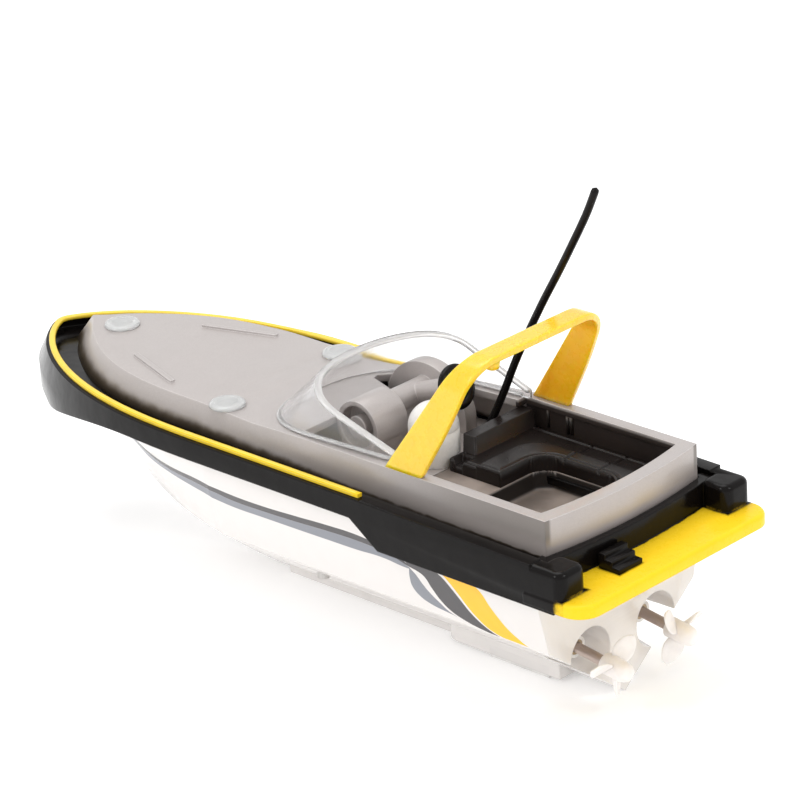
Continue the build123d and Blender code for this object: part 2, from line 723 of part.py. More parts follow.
def make_superstructure():
    """Silver upper moulding: stern box with a rim, cockpit sides, foredeck and screw bosses."""
    outer = cabin_loft(0, deck_top, rim_height)
    shell = outer & cabin_side_view(0, deck_top - 1)
    shell -= cabin_loft(cabin_wall, deck_top, rim_height) & cabin_side_view(foredeck_plate, deck_top - 1)
    low, high = foredeck_height - foredeck_plate - 1, rim_height + 1
    well = plan_prism(cabin_plan(rim_side, False), low, high)
    cockpit = plan_prism(screen_outline(screen_wall + screen_ledge, 0), low, high)
    shell -= well & box(cabin_x - cabin_bow, rim_x, -cabin_beam, cabin_beam, 0, high)
    shell -= cockpit & box(rim_x - 1, hatch_x, -cabin_beam, cabin_beam, 0, high)
    shell -= cockpit & plan_prism(notch_outline(), low, high)
    for x, y in deck_screws_at:
        shell += rod((x, y, deck_top), (0, 0, 1), foredeck_height - deck_top, boss_diameter / 2) & outer
        shell -= rod((x, y, deck_top + boss_floor), (0, 0, 1), rim_height - deck_top, boss_bore / 2)
        shell -= rod((x, y, deck_top - 1), (0, 0, 1), boss_floor + 2, screw_diameter / 2 + cap_fit)
    for side in drive_sides.values():
        ridge = box(-ridge_length / 2, ridge_length / 2, -ridge_width / 2, ridge_width / 2, foredeck_height - 0.1,
                    foredeck_height + ridge_height)
        shell += Pos(transom_x + ridge_lead, side * ridge_side, 0) * Rot(0, 0, -side * ridge_turn) * ridge
    return shell


def notch_outline():
    """Plan of the notch in the front edge of the cockpit opening, to starboard of the wheel."""
    side = -cabin_beam / 2
    return make_face(Polyline((hatch_x - hatch_gap, -notch_side), (hatch_x + notch_length, -notch_side - notch_turn),
                              (hatch_x + notch_length + notch_skew, side), (hatch_x - hatch_gap, side), close=True))


def make_cap(x, y):
    """Round cap with a short plug that closes a screw hole in the foredeck."""
    top = rod((x, y, foredeck_height), (0, 0, 1), cap_height, cap_diameter / 2)
    top = chamfer(top.edges().group_by(Axis.Z)[-1], cap_height / 2)
    return top + rod((x, y, foredeck_height - cap_plug), (0, 0, 1), cap_plug, boss_bore / 2 - cap_fit)


def screen_outline(inset, rise):
    """Plan of the windshield's outer form, rise 0 at its foot and 1 at its rim, moved inwards by inset."""
    half = (screen_base_beam + rise * (screen_rim_beam - screen_base_beam)) / 2 - inset
    reach = screen_base_reach + rise * (screen_rim_reach - screen_base_reach)
    power = screen_base_power + rise * (screen_rim_power - screen_base_power)
    front = cockpit_x - rise * screen_rake - inset
    aft = cockpit_x - screen_length
    angles = [math.radians(degrees) for degrees in (20, 40, 60, 75)]
    side = [(front - reach * (1 - math.sin(angle) ** (2 / power)), half * math.cos(angle) ** (2 / power))
            for angle in angles]
    mirrored = [(x, -y) for x, y in reversed(side)]
    nose = Spline((front - reach, half), *side, (front, 0), *mirrored, (front - reach, -half),
                  tangents=[(1, 0), (-1, 0)])
    return make_face([nose, Polyline((front - reach, -half), (aft, -half), (aft, half), (front - reach, half))])


def screen_form(inset):
    """Solid between the windshield's foot and rim, moved inwards by inset."""
    low, high = foredeck_height, foredeck_height + screen_height
    return loft([Pos(0, 0, low) * screen_outline(inset, 0), Pos(0, 0, high) * screen_outline(inset, 1)], ruled=True)


def make_windshield():
    """Clear wraparound screen, raked at the front, whose sides sweep down towards the stern."""
    high = foredeck_height + screen_height
    top_x = cockpit_x - screen_rake
    aft = cockpit_x - screen_length
    sweep_start = (top_x - 3.0, high)
    middle = (top_x - screen_sweep, foredeck_height + 0.68 * screen_height)
    end = (aft, rim_height + screen_end_height)
    sweep = Spline(sweep_start, middle, end, tangents=[(-1, -0.1), (-1, -0.34)])
    keep = make_face([sweep, Polyline(end, (aft, 0), (bow_x, 0), (bow_x, high), sweep_start)])
    screen = (screen_form(0) - screen_form(screen_wall)) & extrude(Plane.XZ * keep, cabin_beam, both=True)
    return screen - cabin_side_view(0, 0)


def make_roll_arch():
    """Yellow strap over the cockpit that leans aft, with a small nub under its top."""
    foot_z = rim_height
    high = foot_z + arch_height
    half, top_half = arch_foot_beam / 2, arch_top_beam / 2
    rings = []
    for inset in (0, arch_thickness):
        outline = Polyline((half - inset, foot_z - inset), (top_half - inset, high - inset),
                           (inset - top_half, high - inset), (inset - half, foot_z - inset), close=True)
        face = make_face(outline)
        rings.append(fillet(face.vertices().group_by(Axis.Y)[-1], arch_corner - inset))
    ring = extrude(Plane.YZ * (rings[0] - rings[1]), overall_length, both=True)
    start = transom_x + arch_lead
    top = start - arch_lean
    back = ThreePointArc((start, foot_z), ((start + top) / 2 - arch_back_bow, (foot_z + high) / 2), (top, high))
    front = Polyline((top, high), (top + arch_top_length, high), (start + arch_foot_length, foot_z), (start, foot_z))
    arch = ring & extrude(Plane.XZ * make_face([back, front]), arch_foot_beam, both=True)
    nub_x = top + arch_top_length / 2
    nub_y = top_half - arch_nub_inset
    return arch + box(nub_x - arch_nub, nub_x + arch_nub, nub_y, nub_y + arch_nub,
                      high - arch_thickness - arch_nub, high - arch_thickness + 0.2)


def make_antenna_whip():
    """Slightly bent antenna rod with a small ball end."""
    root = (transom_x + whip_lead, -whip_side, floor_z)
    tip = (root[0] - whip_lean, -whip_side, whip_top)
    middle = ((root[0] + tip[0]) / 2 + whip_bend, -whip_side, (root[2] + tip[2]) / 2)
    path = ThreePointArc(root, middle, tip)
    whip = sweep(Plane(origin=root, z_dir=path % 0) * Circle(whip_diameter / 2), path=path)
    whip += Pos(*tip) * Sphere(whip_tip_diameter / 2)
    return whip - box(root[0] - 5, root[0] + 5, -whip_side - 5, 5 - whip_side, floor_z - 5, floor_z)


def make_antenna_grommet():
    """Rubber collar round the antenna's root, standing on the cockpit floor."""
    x, y = transom_x + whip_lead, -whip_side
    collar = rod((x, y, floor_z), (0, 0, 1), grommet_height, grommet_diameter / 2)
    return collar - make_antenna_whip()


# ---- Cockpit floor and stern tray -------------------------------------------------------
bead_end_x = transom_x + bead_lead


def make_stern_tray():
    """Silver floor of the stern well: a plate on the inner deck with a sunken pan."""
    low = sole_top - well_depth
    plate = box(tray_x, tray_end, -tray_half, tray_half, sole_top, floor_z)
    pan = box(well_x, well_end, -well_starboard, well_port, low - pan_wall, floor_z)
    hollow = box(well_x + pan_wall, well_end - pan_wall, pan_wall - well_starboard, well_port - pan_wall, low,
                 floor_z + 1)
    hollow = fillet(hollow.edges().filter_by(Axis.Z), well_corner)
    return plate + pan - hollow


def make_bench_insert():
    """Black bench with a forward wall, lying round the rounded hollow of the stern well."""
    top = floor_z + bench_height
    bench = box(tray_x + 0.3, tray_end - 0.2, -tray_half + 0.3, bench_port, floor_z, top)
    bench += box(tray_end - bench_length, tray_end - 0.2, bench_port - 1, bench_port + bench_step, floor_z, top)
    hollow = box(well_x + pan_wall, well_end - pan_wall, pan_wall - well_starboard, well_port + 5, floor_z - 1, top + 1)
    bench -= fillet(hollow.edges().filter_by(Axis.Z), well_corner)
    wall = box(tray_end - 0.2 - bench_back_thickness, tray_end - 0.2, -tray_half + 0.3, bench_port, floor_z,
               floor_z + bench_back)
    return bench + wall


def make_cockpit_floor():
    """Silver cockpit floor with a sloping dash, a round bar, its neck, a side disc and the column's boot."""
    end = sole_end - tray_gap
    floor = box(tray_end + tray_gap, end, -tray_half, tray_half, sole_top, floor_z)
    dash_x = end - dash_length
    floor += side_prism([(dash_x, sole_top), (dash_x, floor_z), (end, floor_z + dash_rise), (end, sole_top)],
                        dash_beam / 2)
    floor += dash_bar(roll_height, roll_starboard, roll_port, roll_radius)
    floor -= rod((roll_x, roll_port - roll_hollow, floor_z + roll_height), (0, 1, 0), roll_hollow + 1,
                 roll_radius - 0.8)
    floor += rod((roll_x, roll_port - roll_hollow, floor_z + roll_height), (0, 1, 0), roll_hollow, roll_core)
    floor += dash_bar(neck_height, neck_starboard, roll_starboard, neck_radius)
    disc = rod((roll_x, neck_starboard - disc_thickness, floor_z + disc_height), (0, 1, 0), disc_thickness,
               disc_radius)
    floor += disc & box(stern_x, bow_x, -cabin_beam, cabin_beam, floor_z, overall_length)
    return floor + rod(helm_point(0), helm_direction(), neck_radius + boot_length, boot_radius)


def dash_bar(height, starboard, port, radius):
    """Round bar across the cockpit, standing on a block that is narrower than the bar."""
    z = floor_z + height
    bar = rod((roll_x, starboard, z), (0, 1, 0), port - starboard, radius)
    return bar + box(roll_x - radius * 0.8, roll_x + radius * 0.8, starboard, port, floor_z - 0.1, z)


def helm_direction():
    """Direction of the wheel's column, aft and up from the neck."""
    tilt = math.radians(wheel_tilt)
    return Vector(-math.sin(tilt), 0, math.cos(tilt))


def helm_point(distance):
    """Point on the column's axis at a distance from the neck's axis."""
    return Vector(roll_x, -wheel_side, floor_z + neck_height) + helm_direction() * distance


def make_cockpit_dome():
    """White domed fitting on the cockpit's floor."""
    x = transom_x + dome_lead
    stem = rod((x, dome_side, floor_z), (0, 0, 1), dome_stem, dome_radius)
    return stem + Pos(x, dome_side, floor_z + dome_stem) * Sphere(dome_radius)


def make_helm_wheel():
    """Black steering wheel on a short column from the boot."""
    axis = helm_direction()
    foot = neck_radius + boot_length
    centre = helm_point(foot + column_length)
    plane = Plane(origin=centre, z_dir=axis)
    rim = plane * Torus(wheel_diameter / 2 - wheel_rim / 2, wheel_rim / 2)
    hub = rod(helm_point(foot + column_length - wheel_rim / 2), axis, wheel_rim, wheel_diameter / 5)
    spoke = plane * Box(wheel_diameter - wheel_rim, wheel_rim * 0.8, wheel_rim * 0.6)
    return rim + hub + spoke + rod(helm_point(foot), axis, column_length, column_diameter / 2)


# ---- Drive ------------------------------------------------------------------------------
def make_propeller(side):
    """White three-bladed propeller with a bullet-shaped hub, its blades mirrored between the sides."""
    hub = shaft_rod(side, -hub_length / 2, hub_length / 2, hub_diameter / 2)
    nose = Plane(origin=shaft_point(side, -hub_length / 2), z_dir=shaft_direction()) * Sphere(hub_diameter / 2)
    propeller = hub + nose
    plane = Plane(origin=shaft_point(side, 0), x_dir=(0, 1, 0), z_dir=shaft_direction())
    length = propeller_diameter / 2
    for index in range(blade_count):
        outline = Pos(length * 0.58, 0, 0) * Ellipse(length * 0.42, length * 0.34) + \
            Pos(length * 0.25, 0, 0) * Rectangle(length * 0.5, length * 0.3)
        blade = extrude(outline, blade_thickness / 2, both=True)
        turned = Rot(0, 0, index * 360 / blade_count) * Rot(side * blade_pitch_angle, 0, 0) * blade
        propeller += plane * turned
    return propeller - shaft_rod(side, -1.5, hub_length, shaft_diameter / 2)


def make_shaft_tube(side):
    """White tube that carries the propeller shaft through the hull."""
    tube = shaft_rod(side, tube_start, tube_end, tube_diameter / 2)
    return tube - shaft_rod(side, tube_start - 1, tube_end + 1, tube_bore / 2)


def make_shaft_bushes(side):
    """Two brass bushes in the ends of a shaft tube."""
    bushes = Part()
    for start in (tube_start, tube_end - bush_length):
        bush = shaft_rod(side, start, start + bush_length, tube_bore / 2)
        bushes += bush - shaft_rod(side, start - 1, start + bush_length + 1, shaft_diameter / 2 + running_clearance)
    return bushes


def make_propeller_shaft(side):
    """Steel shaft from the propeller to the coupling."""
    return shaft_rod(side, -1.5, coupling_start + coupling_length / 2, shaft_diameter / 2)


def make_coupling(side):
    """Rubber sleeve that joins the shaft and the motor's spindle."""
    sleeve = shaft_rod(side, coupling_start, coupling_end, coupling_diameter / 2)
    middle = coupling_start + coupling_length / 2
    sleeve -= shaft_rod(side, coupling_start - 1, middle, shaft_diameter / 2)
    return sleeve - shaft_rod(side, middle, coupling_end + 1, spindle_diameter / 2)


def make_motor_rotor(side):
    """Motor's spindle with its coil."""
    spindle = shaft_rod(side, coupling_start + coupling_length / 2, motor_end - motor_cap_length / 2,
                        spindle_diameter / 2)
    return spindle + shaft_rod(side, motor_start + 2 * motor_wall + rotor_gap, motor_end - motor_cap_length - rotor_gap,
                               motor_diameter / 2 - motor_wall - rotor_gap)


def make_motor_can(side):
    """Steel can of a motor, closed at the shaft's end."""
    can = shaft_rod(side, motor_start, motor_end - motor_cap_length, motor_diameter / 2)
    can -= shaft_rod(side, motor_start + 2 * motor_wall, motor_end, motor_diameter / 2 - motor_wall)
    return can - shaft_rod(side, motor_start - 1, motor_end, spindle_diameter / 2 + running_clearance)


def make_motor_cap(side):
    """Plastic end cap of a motor with two terminals."""
    start = motor_end - motor_cap_length
    cap = shaft_rod(side, start, motor_end, motor_diameter / 2)
    cap -= shaft_rod(side, start - 1, motor_end - motor_cap_length / 4, spindle_diameter / 2 + running_clearance)
    point = shaft_point(side, motor_end)
    for offset in (-1, 1):
        terminal = box(point.X - 0.2, point.X + 1.6, point.Y + offset * motor_diameter / 4 - 0.4,
                       point.Y + offset * motor_diameter / 4 + 0.4, point.Z - 0.15, point.Z + 0.15)
        cap += terminal
    return cap


def make_motor_cradle():
    """Cradle on the hull's floor that holds both motors from below."""
    half = shaft_side + motor_diameter / 2 + 2.2
    block = box(cradle_x - cradle_length / 2, cradle_x + cradle_length / 2, -half, half, 0, cradle_z)
    block = (block & cavity) - plan_prism(pod_outline(0), 0, pod_roof)
    for side in drive_sides.values():
        block -= shaft_rod(side, motor_start - 1, motor_end, motor_diameter / 2)
    return block - rod((cradle_x, 0, cradle_z - cradle_screw_depth), (0, 0, 1), cradle_screw_depth + 1,
                       screw_diameter / 2)


def make_motor_strap():
    """Metal strap over both motors, screwed to the cradle between them."""
    half = shaft_side + motor_diameter / 2 + 1.6
    plane_x = (cradle_x - strap_width / 2, cradle_x + strap_width / 2)
    strap = box(*plane_x, -half, half, cradle_z, cradle_z + strap_thickness)
    for side in drive_sides.values():
        hoop = shaft_rod(side, cradle_middle - strap_width, cradle_middle + strap_width,
                         motor_diameter / 2 + strap_thickness)
        strap += hoop & box(*plane_x, -half, half, cradle_z, cradle_z + motor_diameter)
    for side in drive_sides.values():
        strap -= shaft_rod(side, motor_start - 1, motor_end, motor_diameter / 2)
    return strap - rod((cradle_x, 0, 0), (0, 0, 1), hull_top, screw_diameter / 2 + cap_fit)


def make_strap_screw():
    """Screw that holds the motor strap."""
    top = cradle_z + strap_thickness
    shank = rod((cradle_x, 0, cradle_z - cradle_screw_depth + 0.5), (0, 0, 1),
                cradle_screw_depth - 0.5 + strap_thickness, screw_diameter / 2)
    return shank + rod((cradle_x, 0, top), (0, 0, 1), screw_head_height, screw_head / 2)


# ---- Electrics --------------------------------------------------------------------------
def make_battery_cells():
    """Round cells lying side by side."""
    cells = Part()
    for index in range(cell_count):
        y = (index - (cell_count - 1) / 2) * cell_pitch
        cells += rod((battery_x, y, battery_z), (1, 0, 0), cell_length, cell_diameter / 2)
    return cells


def make_battery_wrap():
    """Shrink wrap round the cells."""
    reach = (cell_count - 1) * cell_pitch + cell_diameter
    low, high = battery_z - cell_diameter / 2, battery_z + cell_diameter / 2
    ends = (battery_x + 1, battery_x + cell_length - 1)
    inner = box(ends[0] - 1, ends[1] + 1, -reach / 2, reach / 2, low, high)
    inner = fillet(inner.edges().filter_by(Axis.X), cell_diameter / 2 - 0.05)
    outer = box(*ends, -reach / 2 - cell_wrap, reach / 2 + cell_wrap, low - cell_wrap, high + cell_wrap)
    outer = fillet(outer.edges().filter_by(Axis.X), cell_diameter / 2 - 0.05 + cell_wrap)
    return outer - inner


def make_battery_saddles():
    """Two saddles on the hull's floor under the battery."""
    reach = (cell_count * cell_pitch) / 2
    saddles = Part()
    for start in saddle_places:
        saddles += box(start, start + saddle_width, -reach, reach, 0, battery_height + cell_diameter / 3)
    return (saddles & cavity) - battery_envelope()


def battery_envelope():
    """Outer form of the wrapped battery."""
    reach = (cell_count - 1) * cell_pitch + cell_diameter
    low, high = battery_z - cell_diameter / 2 - cell_wrap, battery_z + cell_diameter / 2 + cell_wrap
    block = box(battery_x, battery_x + cell_length, -reach / 2 - cell_wrap, reach / 2 + cell_wrap, low, high)
    return fillet(block.edges().filter_by(Axis.X), cell_diameter / 2 - 0.05 + cell_wrap)


def make_receiver_board():
    """Receiver's circuit board on the hull's posts."""
    board = box(board_x, board_x + board_length, -board_width / 2, board_width / 2, board_height,
                board_height + board_thickness)
    for x, y in board_posts:
        board -= rod((x, y, board_height - 1), (0, 0, 1), board_thickness + 2, screw_diameter / 2 + cap_fit)
    return board


def make_board_parts():
    """Chips and crystal on the receiver board."""
    top = board_height + board_thickness
    middle = board_x + board_length / 2
    parts = Part()
    for offset in (-chip_width, chip_width):
        parts += box(middle - chip_length / 2, middle + chip_length / 2, offset - chip_width / 2,
                     offset + chip_width / 2, top, top + chip_height)
    parts += rod((middle - crystal_length / 2, 0, top + crystal_diameter / 2), (1, 0, 0), crystal_length,
                 crystal_diameter / 2)
    return parts


def make_board_screws():
    """Four screws that hold the receiver board."""
    screws = Part()
    top = board_height + board_thickness
    for x, y in board_posts:
        screws += rod((x, y, board_height - board_screw_reach), (0, 0, 1), board_screw_reach + board_thickness,
                      screw_diameter / 2)
        screws += rod((x, y, top), (0, 0, 1), screw_head_height, screw_head / 2)
    return screws


def write(name, solid):
    """Write one piece to its own file."""
    export_step(solid, f"parts/{name}.step")


def main():
    """Build every piece and write it out."""
    single = {
        "lower_hull": make_lower_hull, "switch_plate": make_switch_plate, "power_switch": make_switch_body,
        "power_switch_slider": make_switch_slider, "charge_socket": make_charge_socket,
        "charge_socket_pin": make_socket_pin, "charge_plug": make_charge_plug,
        "water_contacts": make_water_contacts,
        "deck_moulding": make_deck_moulding, "hull_gasket": make_hull_gasket, "release_tab": make_release_tab,
        "deck_screws": make_deck_screws, "superstructure": make_superstructure, "windshield": make_windshield,
        "roll_arch": make_roll_arch, "antenna_whip": make_antenna_whip, "antenna_grommet": make_antenna_grommet,
        "stern_tray": make_stern_tray, "bench_insert": make_bench_insert, "cockpit_floor": make_cockpit_floor,
        "cockpit_dome": make_cockpit_dome, "helm_wheel": make_helm_wheel, "motor_cradle": make_motor_cradle,
        "motor_strap": make_motor_strap, "strap_screw": make_strap_screw, "battery_cells": make_battery_cells,
        "battery_wrap": make_battery_wrap, "battery_saddles": make_battery_saddles,
        "receiver_board": make_receiver_board, "board_parts": make_board_parts, "board_screws": make_board_screws,
    }
    for name, make in single.items():
        write(name, make())
    for name, (x, y) in zip(("cap_bow", "cap_port", "cap_starboard"), deck_screws_at):
        write(name, make_cap(x, y))
    paired = {
        "propeller": make_propeller, "propeller_shaft": make_propeller_shaft, "shaft_tube": make_shaft_tube,
        "shaft_bushes": make_shaft_bushes, "coupling": make_coupling, "motor_rotor": make_motor_rotor,
        "motor_can": make_motor_can, "motor_cap": make_motor_cap,
    }
    for side, sign in drive_sides.items():
        for name, make in paired.items():
            write(f"{name}_{side}", make(sign))


main()
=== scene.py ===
"""Looks of a small twin-screw remote-control speedboat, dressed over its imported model.

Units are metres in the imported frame: +X towards the bow, +Y to port, +Z up.  Sizes in the
classes are written in millimetres and turned to metres by the mesh helpers.
"""
import logging
import math
from dataclasses import dataclass, field
from enum import Enum
from typing import Iterator, Sequence

import bmesh
import bpy
import numpy as np
from mathutils import Matrix, Vector


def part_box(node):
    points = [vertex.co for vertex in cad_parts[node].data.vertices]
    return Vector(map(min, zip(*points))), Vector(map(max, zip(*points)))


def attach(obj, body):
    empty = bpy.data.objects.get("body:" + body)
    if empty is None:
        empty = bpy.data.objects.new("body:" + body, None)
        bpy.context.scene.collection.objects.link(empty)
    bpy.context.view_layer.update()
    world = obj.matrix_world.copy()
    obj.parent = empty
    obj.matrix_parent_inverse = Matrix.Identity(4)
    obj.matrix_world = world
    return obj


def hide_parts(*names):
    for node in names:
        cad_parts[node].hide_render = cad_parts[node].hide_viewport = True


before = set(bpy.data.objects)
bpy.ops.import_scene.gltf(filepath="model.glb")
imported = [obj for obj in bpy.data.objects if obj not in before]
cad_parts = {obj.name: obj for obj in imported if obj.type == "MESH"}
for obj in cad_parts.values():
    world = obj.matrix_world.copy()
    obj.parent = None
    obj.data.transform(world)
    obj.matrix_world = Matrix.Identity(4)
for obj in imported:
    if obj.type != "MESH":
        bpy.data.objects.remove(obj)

log = logging.getLogger("speedboat")
MM = 0.001
UP = (0.0, 0.0, 1.0)
Point = tuple[float, float, float]
Colour = tuple[float, float, float]
Line = tuple[tuple[float, float], ...]
Box = tuple[float, float, float, float]


class Slot(Enum):
    """Material slots of the record."""

    HULL_WHITE = "hull_white"
    DECK_BLACK = "deck_black"
    SILVER = "silver"
    YELLOW = "yellow"
    CLEAR = "clear"
    BLACK = "black"
    WHITE = "white"
    SEAL = "seal"


class Side(Enum):
    """Places of repeated parts, as their nodes' names give them."""

    BOW = "bow"
    PORT = "port"
    STARBOARD = "starboard"


class Run(Enum):
    """Direction in which a stripe runs."""

    LENGTH = "length"
    HEIGHT = "height"


# ---- Mesh helpers ------------------------------------------------------------------------


def mesh_piece(name: str, points: np.ndarray, faces: Sequence[Sequence[int]]) -> bpy.types.Object:
    """Makes a smooth object at the origin.

    Args:
        name: Name of the object and its mesh.
        points: Array of points in millimetres, x, y and z along its last axis.
        faces: Point numbers of each face.

    Returns:
        The new object, linked to the scene.
    """
    mesh = bpy.data.meshes.new(name)
    mesh.from_pydata((np.reshape(points, (-1, 3)) * MM).tolist(), [], faces)
    mesh.shade_smooth()
    piece = bpy.data.objects.new(name, mesh)
    bpy.context.scene.collection.objects.link(piece)
    return piece


def grid_faces(rows: int, columns: int, wrap_rows: bool = False, wrap_columns: bool = False) -> np.ndarray:
    """Quads of a grid whose point (i, j) has number i * columns + j.

    Args:
        rows: Number of rows of points.
        columns: Number of columns of points.
        wrap_rows: Whether the last row joins the first.
        wrap_columns: Whether the last column joins the first.

    Returns:
        (m, 4) array of point numbers.
    """
    i, j = np.meshgrid(np.arange(rows if wrap_rows else rows - 1),
                       np.arange(columns if wrap_columns else columns - 1), indexing="ij")
    following, beside = (i + 1) % rows, (j + 1) % columns
    return np.stack([i * columns + j, following * columns + j, following * columns + beside,
                     i * columns + beside], -1).reshape(-1, 4)


def tidy(piece: bpy.types.Object, merge: float = 0.002, flatten: float = 0.0) -> bpy.types.Object:
    """Merges doubled points and turns every face outwards.

    Args:
        piece: The piece to mend.
        merge: Points closer than this many millimetres become one.
        flatten: Faces within this many degrees of each other become one, none at nought.

    Returns:
        The same piece.
    """
    work = bmesh.new()
    work.from_mesh(piece.data)
    bmesh.ops.remove_doubles(work, verts=work.verts, dist=merge * MM)
    if flatten:
        bmesh.ops.dissolve_limit(work, angle_limit=math.radians(flatten), verts=work.verts, edges=work.edges)
    bmesh.ops.recalc_face_normals(work, faces=work.faces)
    work.to_mesh(piece.data)
    work.free()
    return piece


def looped(name: str, points: np.ndarray, close_rows: bool = False) -> bpy.types.Object:
    """Closed skin through rows of points, each row a closed loop.

    Args:
        name: Name of the piece.
        points: (rows, columns, 3) array in millimetres.
        close_rows: Whether the last row joins the first; otherwise both end rows get a lid.

    Returns:
        The new piece, its faces outwards.
    """
    rows, columns = points.shape[:2]
    faces = grid_faces(rows, columns, wrap_rows=close_rows, wrap_columns=True).tolist()
    flat = points.reshape(-1, 3)
    if not close_rows:
        flat = np.vstack([flat, points[[0, -1]].mean(1)])
        for end, start in enumerate((0, (rows - 1) * columns)):
            faces += [[start + j, start + (j + 1) % columns, rows * columns + end] for j in range(columns)]
    return tidy(mesh_piece(name, flat, faces))


def revolved(name: str, profile: Sequence[tuple[float, float]], centre: Sequence[float],
             axis: Sequence[float] = UP, steps: int = 96) -> bpy.types.Object:
    """Surface of revolution.

    A profile point (r, h) goes to centre + h * axis + r * (cos a * u + sin a * v), for the angle a
    round the axis and two unit vectors u and v square to it.

    Args:
        name: Name of the piece.
        profile: (radius, height) pairs in millimetres.
        centre: Point on the axis where the height is nought.
        axis: Direction of the axis.
        steps: Number of steps round the axis.

    Returns:
        The new piece.
    """
    along = Vector(axis).normalized()
    u = along.orthogonal().normalized()
    angle = np.linspace(0, 2 * math.pi, steps, endpoint=False)[:, None]
    spokes = np.cos(angle) * np.array(u) + np.sin(angle) * np.array(along.cross(u))
    rh = np.asarray(profile, float)
    points = np.array(centre, float) + rh[None, :, 1:] * np.array(along) + rh[None, :, :1] * spokes[:, None]
    return tidy(mesh_piece(name, points, grid_faces(steps, len(rh), wrap_rows=True).tolist()))


def smooth_path(points: Sequence[Sequence[float]], count: int) -> np.ndarray:
    """Even points on the cubic curve through the given points.

    The curve is the Catmull-Rom cubic over the points, with its ends carried on straight, and the
    points are set at even lengths along it.

    Args:
        points: Points the curve passes through, in any number of dimensions.
        count: Number of points returned.

    Returns:
        (count, d) array.
    """
    p = np.asarray(points, float)
    q = np.vstack([2 * p[0] - p[1], p, 2 * p[-1] - p[-2]])
    t = np.linspace(0, len(p) - 1, 60 * len(p))
    k = np.minimum(t.astype(int), len(p) - 2)
    u = (t - k)[:, None]
    a, b, c, d = q[k], q[k + 1], q[k + 2], q[k + 3]
    fine = 0.5 * (2 * b + (c - a) * u + (2 * a - 5 * b + 4 * c - d) * u ** 2 + (3 * b - a - 3 * c + d) * u ** 3)
    run = np.concatenate([[0], np.cumsum(np.linalg.norm(np.diff(fine, axis=0), axis=1))])
    even = np.linspace(0, run[-1], count)
    return np.stack([np.interp(even, run, fine[:, n]) for n in range(p.shape[1])], 1)


def swept(name: str, path: np.ndarray, profile: np.ndarray, up: Sequence[float], scale: np.ndarray | None = None,
          close: bool = False) -> bpy.types.Object:
    """Closed profile carried along a path.

    The profile point (a, b) at a path point goes to path + a * side + b * lift, where side is the
    cross product of the path's direction and up, and lift that of side and the direction.

    Args:
        name: Name of the piece.
        path: (n, 3) points in millimetres.
        profile: (m, 2) closed outline in millimetres.
        up: Direction that lift stays nearest to.
        scale: Size of the profile at each path point, one by default.
        close: Whether the path is a loop.

    Returns:
        The new piece, with its ends closed.
    """
    ahead = np.roll(path, -1, 0) - np.roll(path, 1, 0) if close else np.gradient(path, axis=0)
    ahead /= np.linalg.norm(ahead, axis=1)[:, None]
    side = np.cross(ahead, np.asarray(up, float))
    side /= np.linalg.norm(side, axis=1)[:, None]
    lift = np.cross(side, ahead)
    size = np.ones(len(path)) if scale is None else scale
    return looped(name, path[:, None] + size[:, None, None] * (profile[None, :, :1] * side[:, None]
                                                               + profile[None, :, 1:] * lift[:, None]), close)


def superellipse(half_width: float, half_height: float, power: float, count: int) -> np.ndarray:
    """Closed outline |a / half_width| ** power + |b / half_height| ** power = 1.

    Args:
        half_width: Half of the outline's size along a.
        half_height: Half of its size along b.
        power: Two for an ellipse, more for an oblong with rounded corners.
        count: Number of points.

    Returns:
        (count, 2) array.
    """
    t = np.linspace(0, 2 * math.pi, count, endpoint=False)
    c, s = np.cos(t), np.sin(t)
    return np.stack([half_width * np.sign(c) * np.abs(c) ** (2 / power),
                     half_height * np.sign(s) * np.abs(s) ** (2 / power)], 1)


def rounded_end(share: np.ndarray, start: float, least: float) -> np.ndarray:
    """Size that is one up to start, then falls to sqrt(least) as a quarter circle: sqrt(1 - t ** 2)."""
    return np.sqrt(np.clip(1 - np.clip((share - start) / (1 - start), 0, 1) ** 2, least, 1))


def smoothstep(value: np.ndarray, low: float, high: float) -> np.ndarray:
    """Smooth step from 0 at low to 1 at high."""
    t = np.clip((value - low) / (high - low), 0, 1)
    return t * t * (3 - 2 * t)


def rounded_box(x: np.ndarray, y: np.ndarray, box: Box, radius: float) -> np.ndarray:
    """Distance to the outline of a box with rounded corners.

    The distance is hypot(max(a, 0), max(b, 0)) + min(max(a, b), 0) - radius, with a and b the
    distances past the sides of the box drawn in by the radius.

    Args:
        x: Places along the boat.
        y: Places across it.
        box: The sides as (x0, x1, y0, y1).
        radius: Radius of the corners.

    Returns:
        Array of distances, below nought inside the box.
    """
    x0, x1, y0, y1 = box
    a = np.abs(x - (x0 + x1) / 2) - (x1 - x0) / 2 + radius
    b = np.abs(y - (y0 + y1) / 2) - (y1 - y0) / 2 + radius
    return np.hypot(np.maximum(a, 0), np.maximum(b, 0)) + np.minimum(np.maximum(a, b), 0) - radius


def step(distance: np.ndarray, height: float, soft: float = 0.35, steep: float = 0.16) -> np.ndarray:
    """Raised form with a steep side and a quarter-round upper edge.

    Args:
        distance: Distance to the form's outline, below nought inside it.
        height: Height well inside the outline.
        soft: Radius of the upper edge.
        steep: Width over which the side rises.

    Returns:
        Array of heights, nought outside the outline.
    """
    crown = np.clip((-distance - 0.5 * steep) / soft, 0, 1)
    return smoothstep(-distance, 0.0, steep) * (height - soft * (1 - np.sqrt(np.clip(1 - (1 - crown) ** 2, 0, 1))))


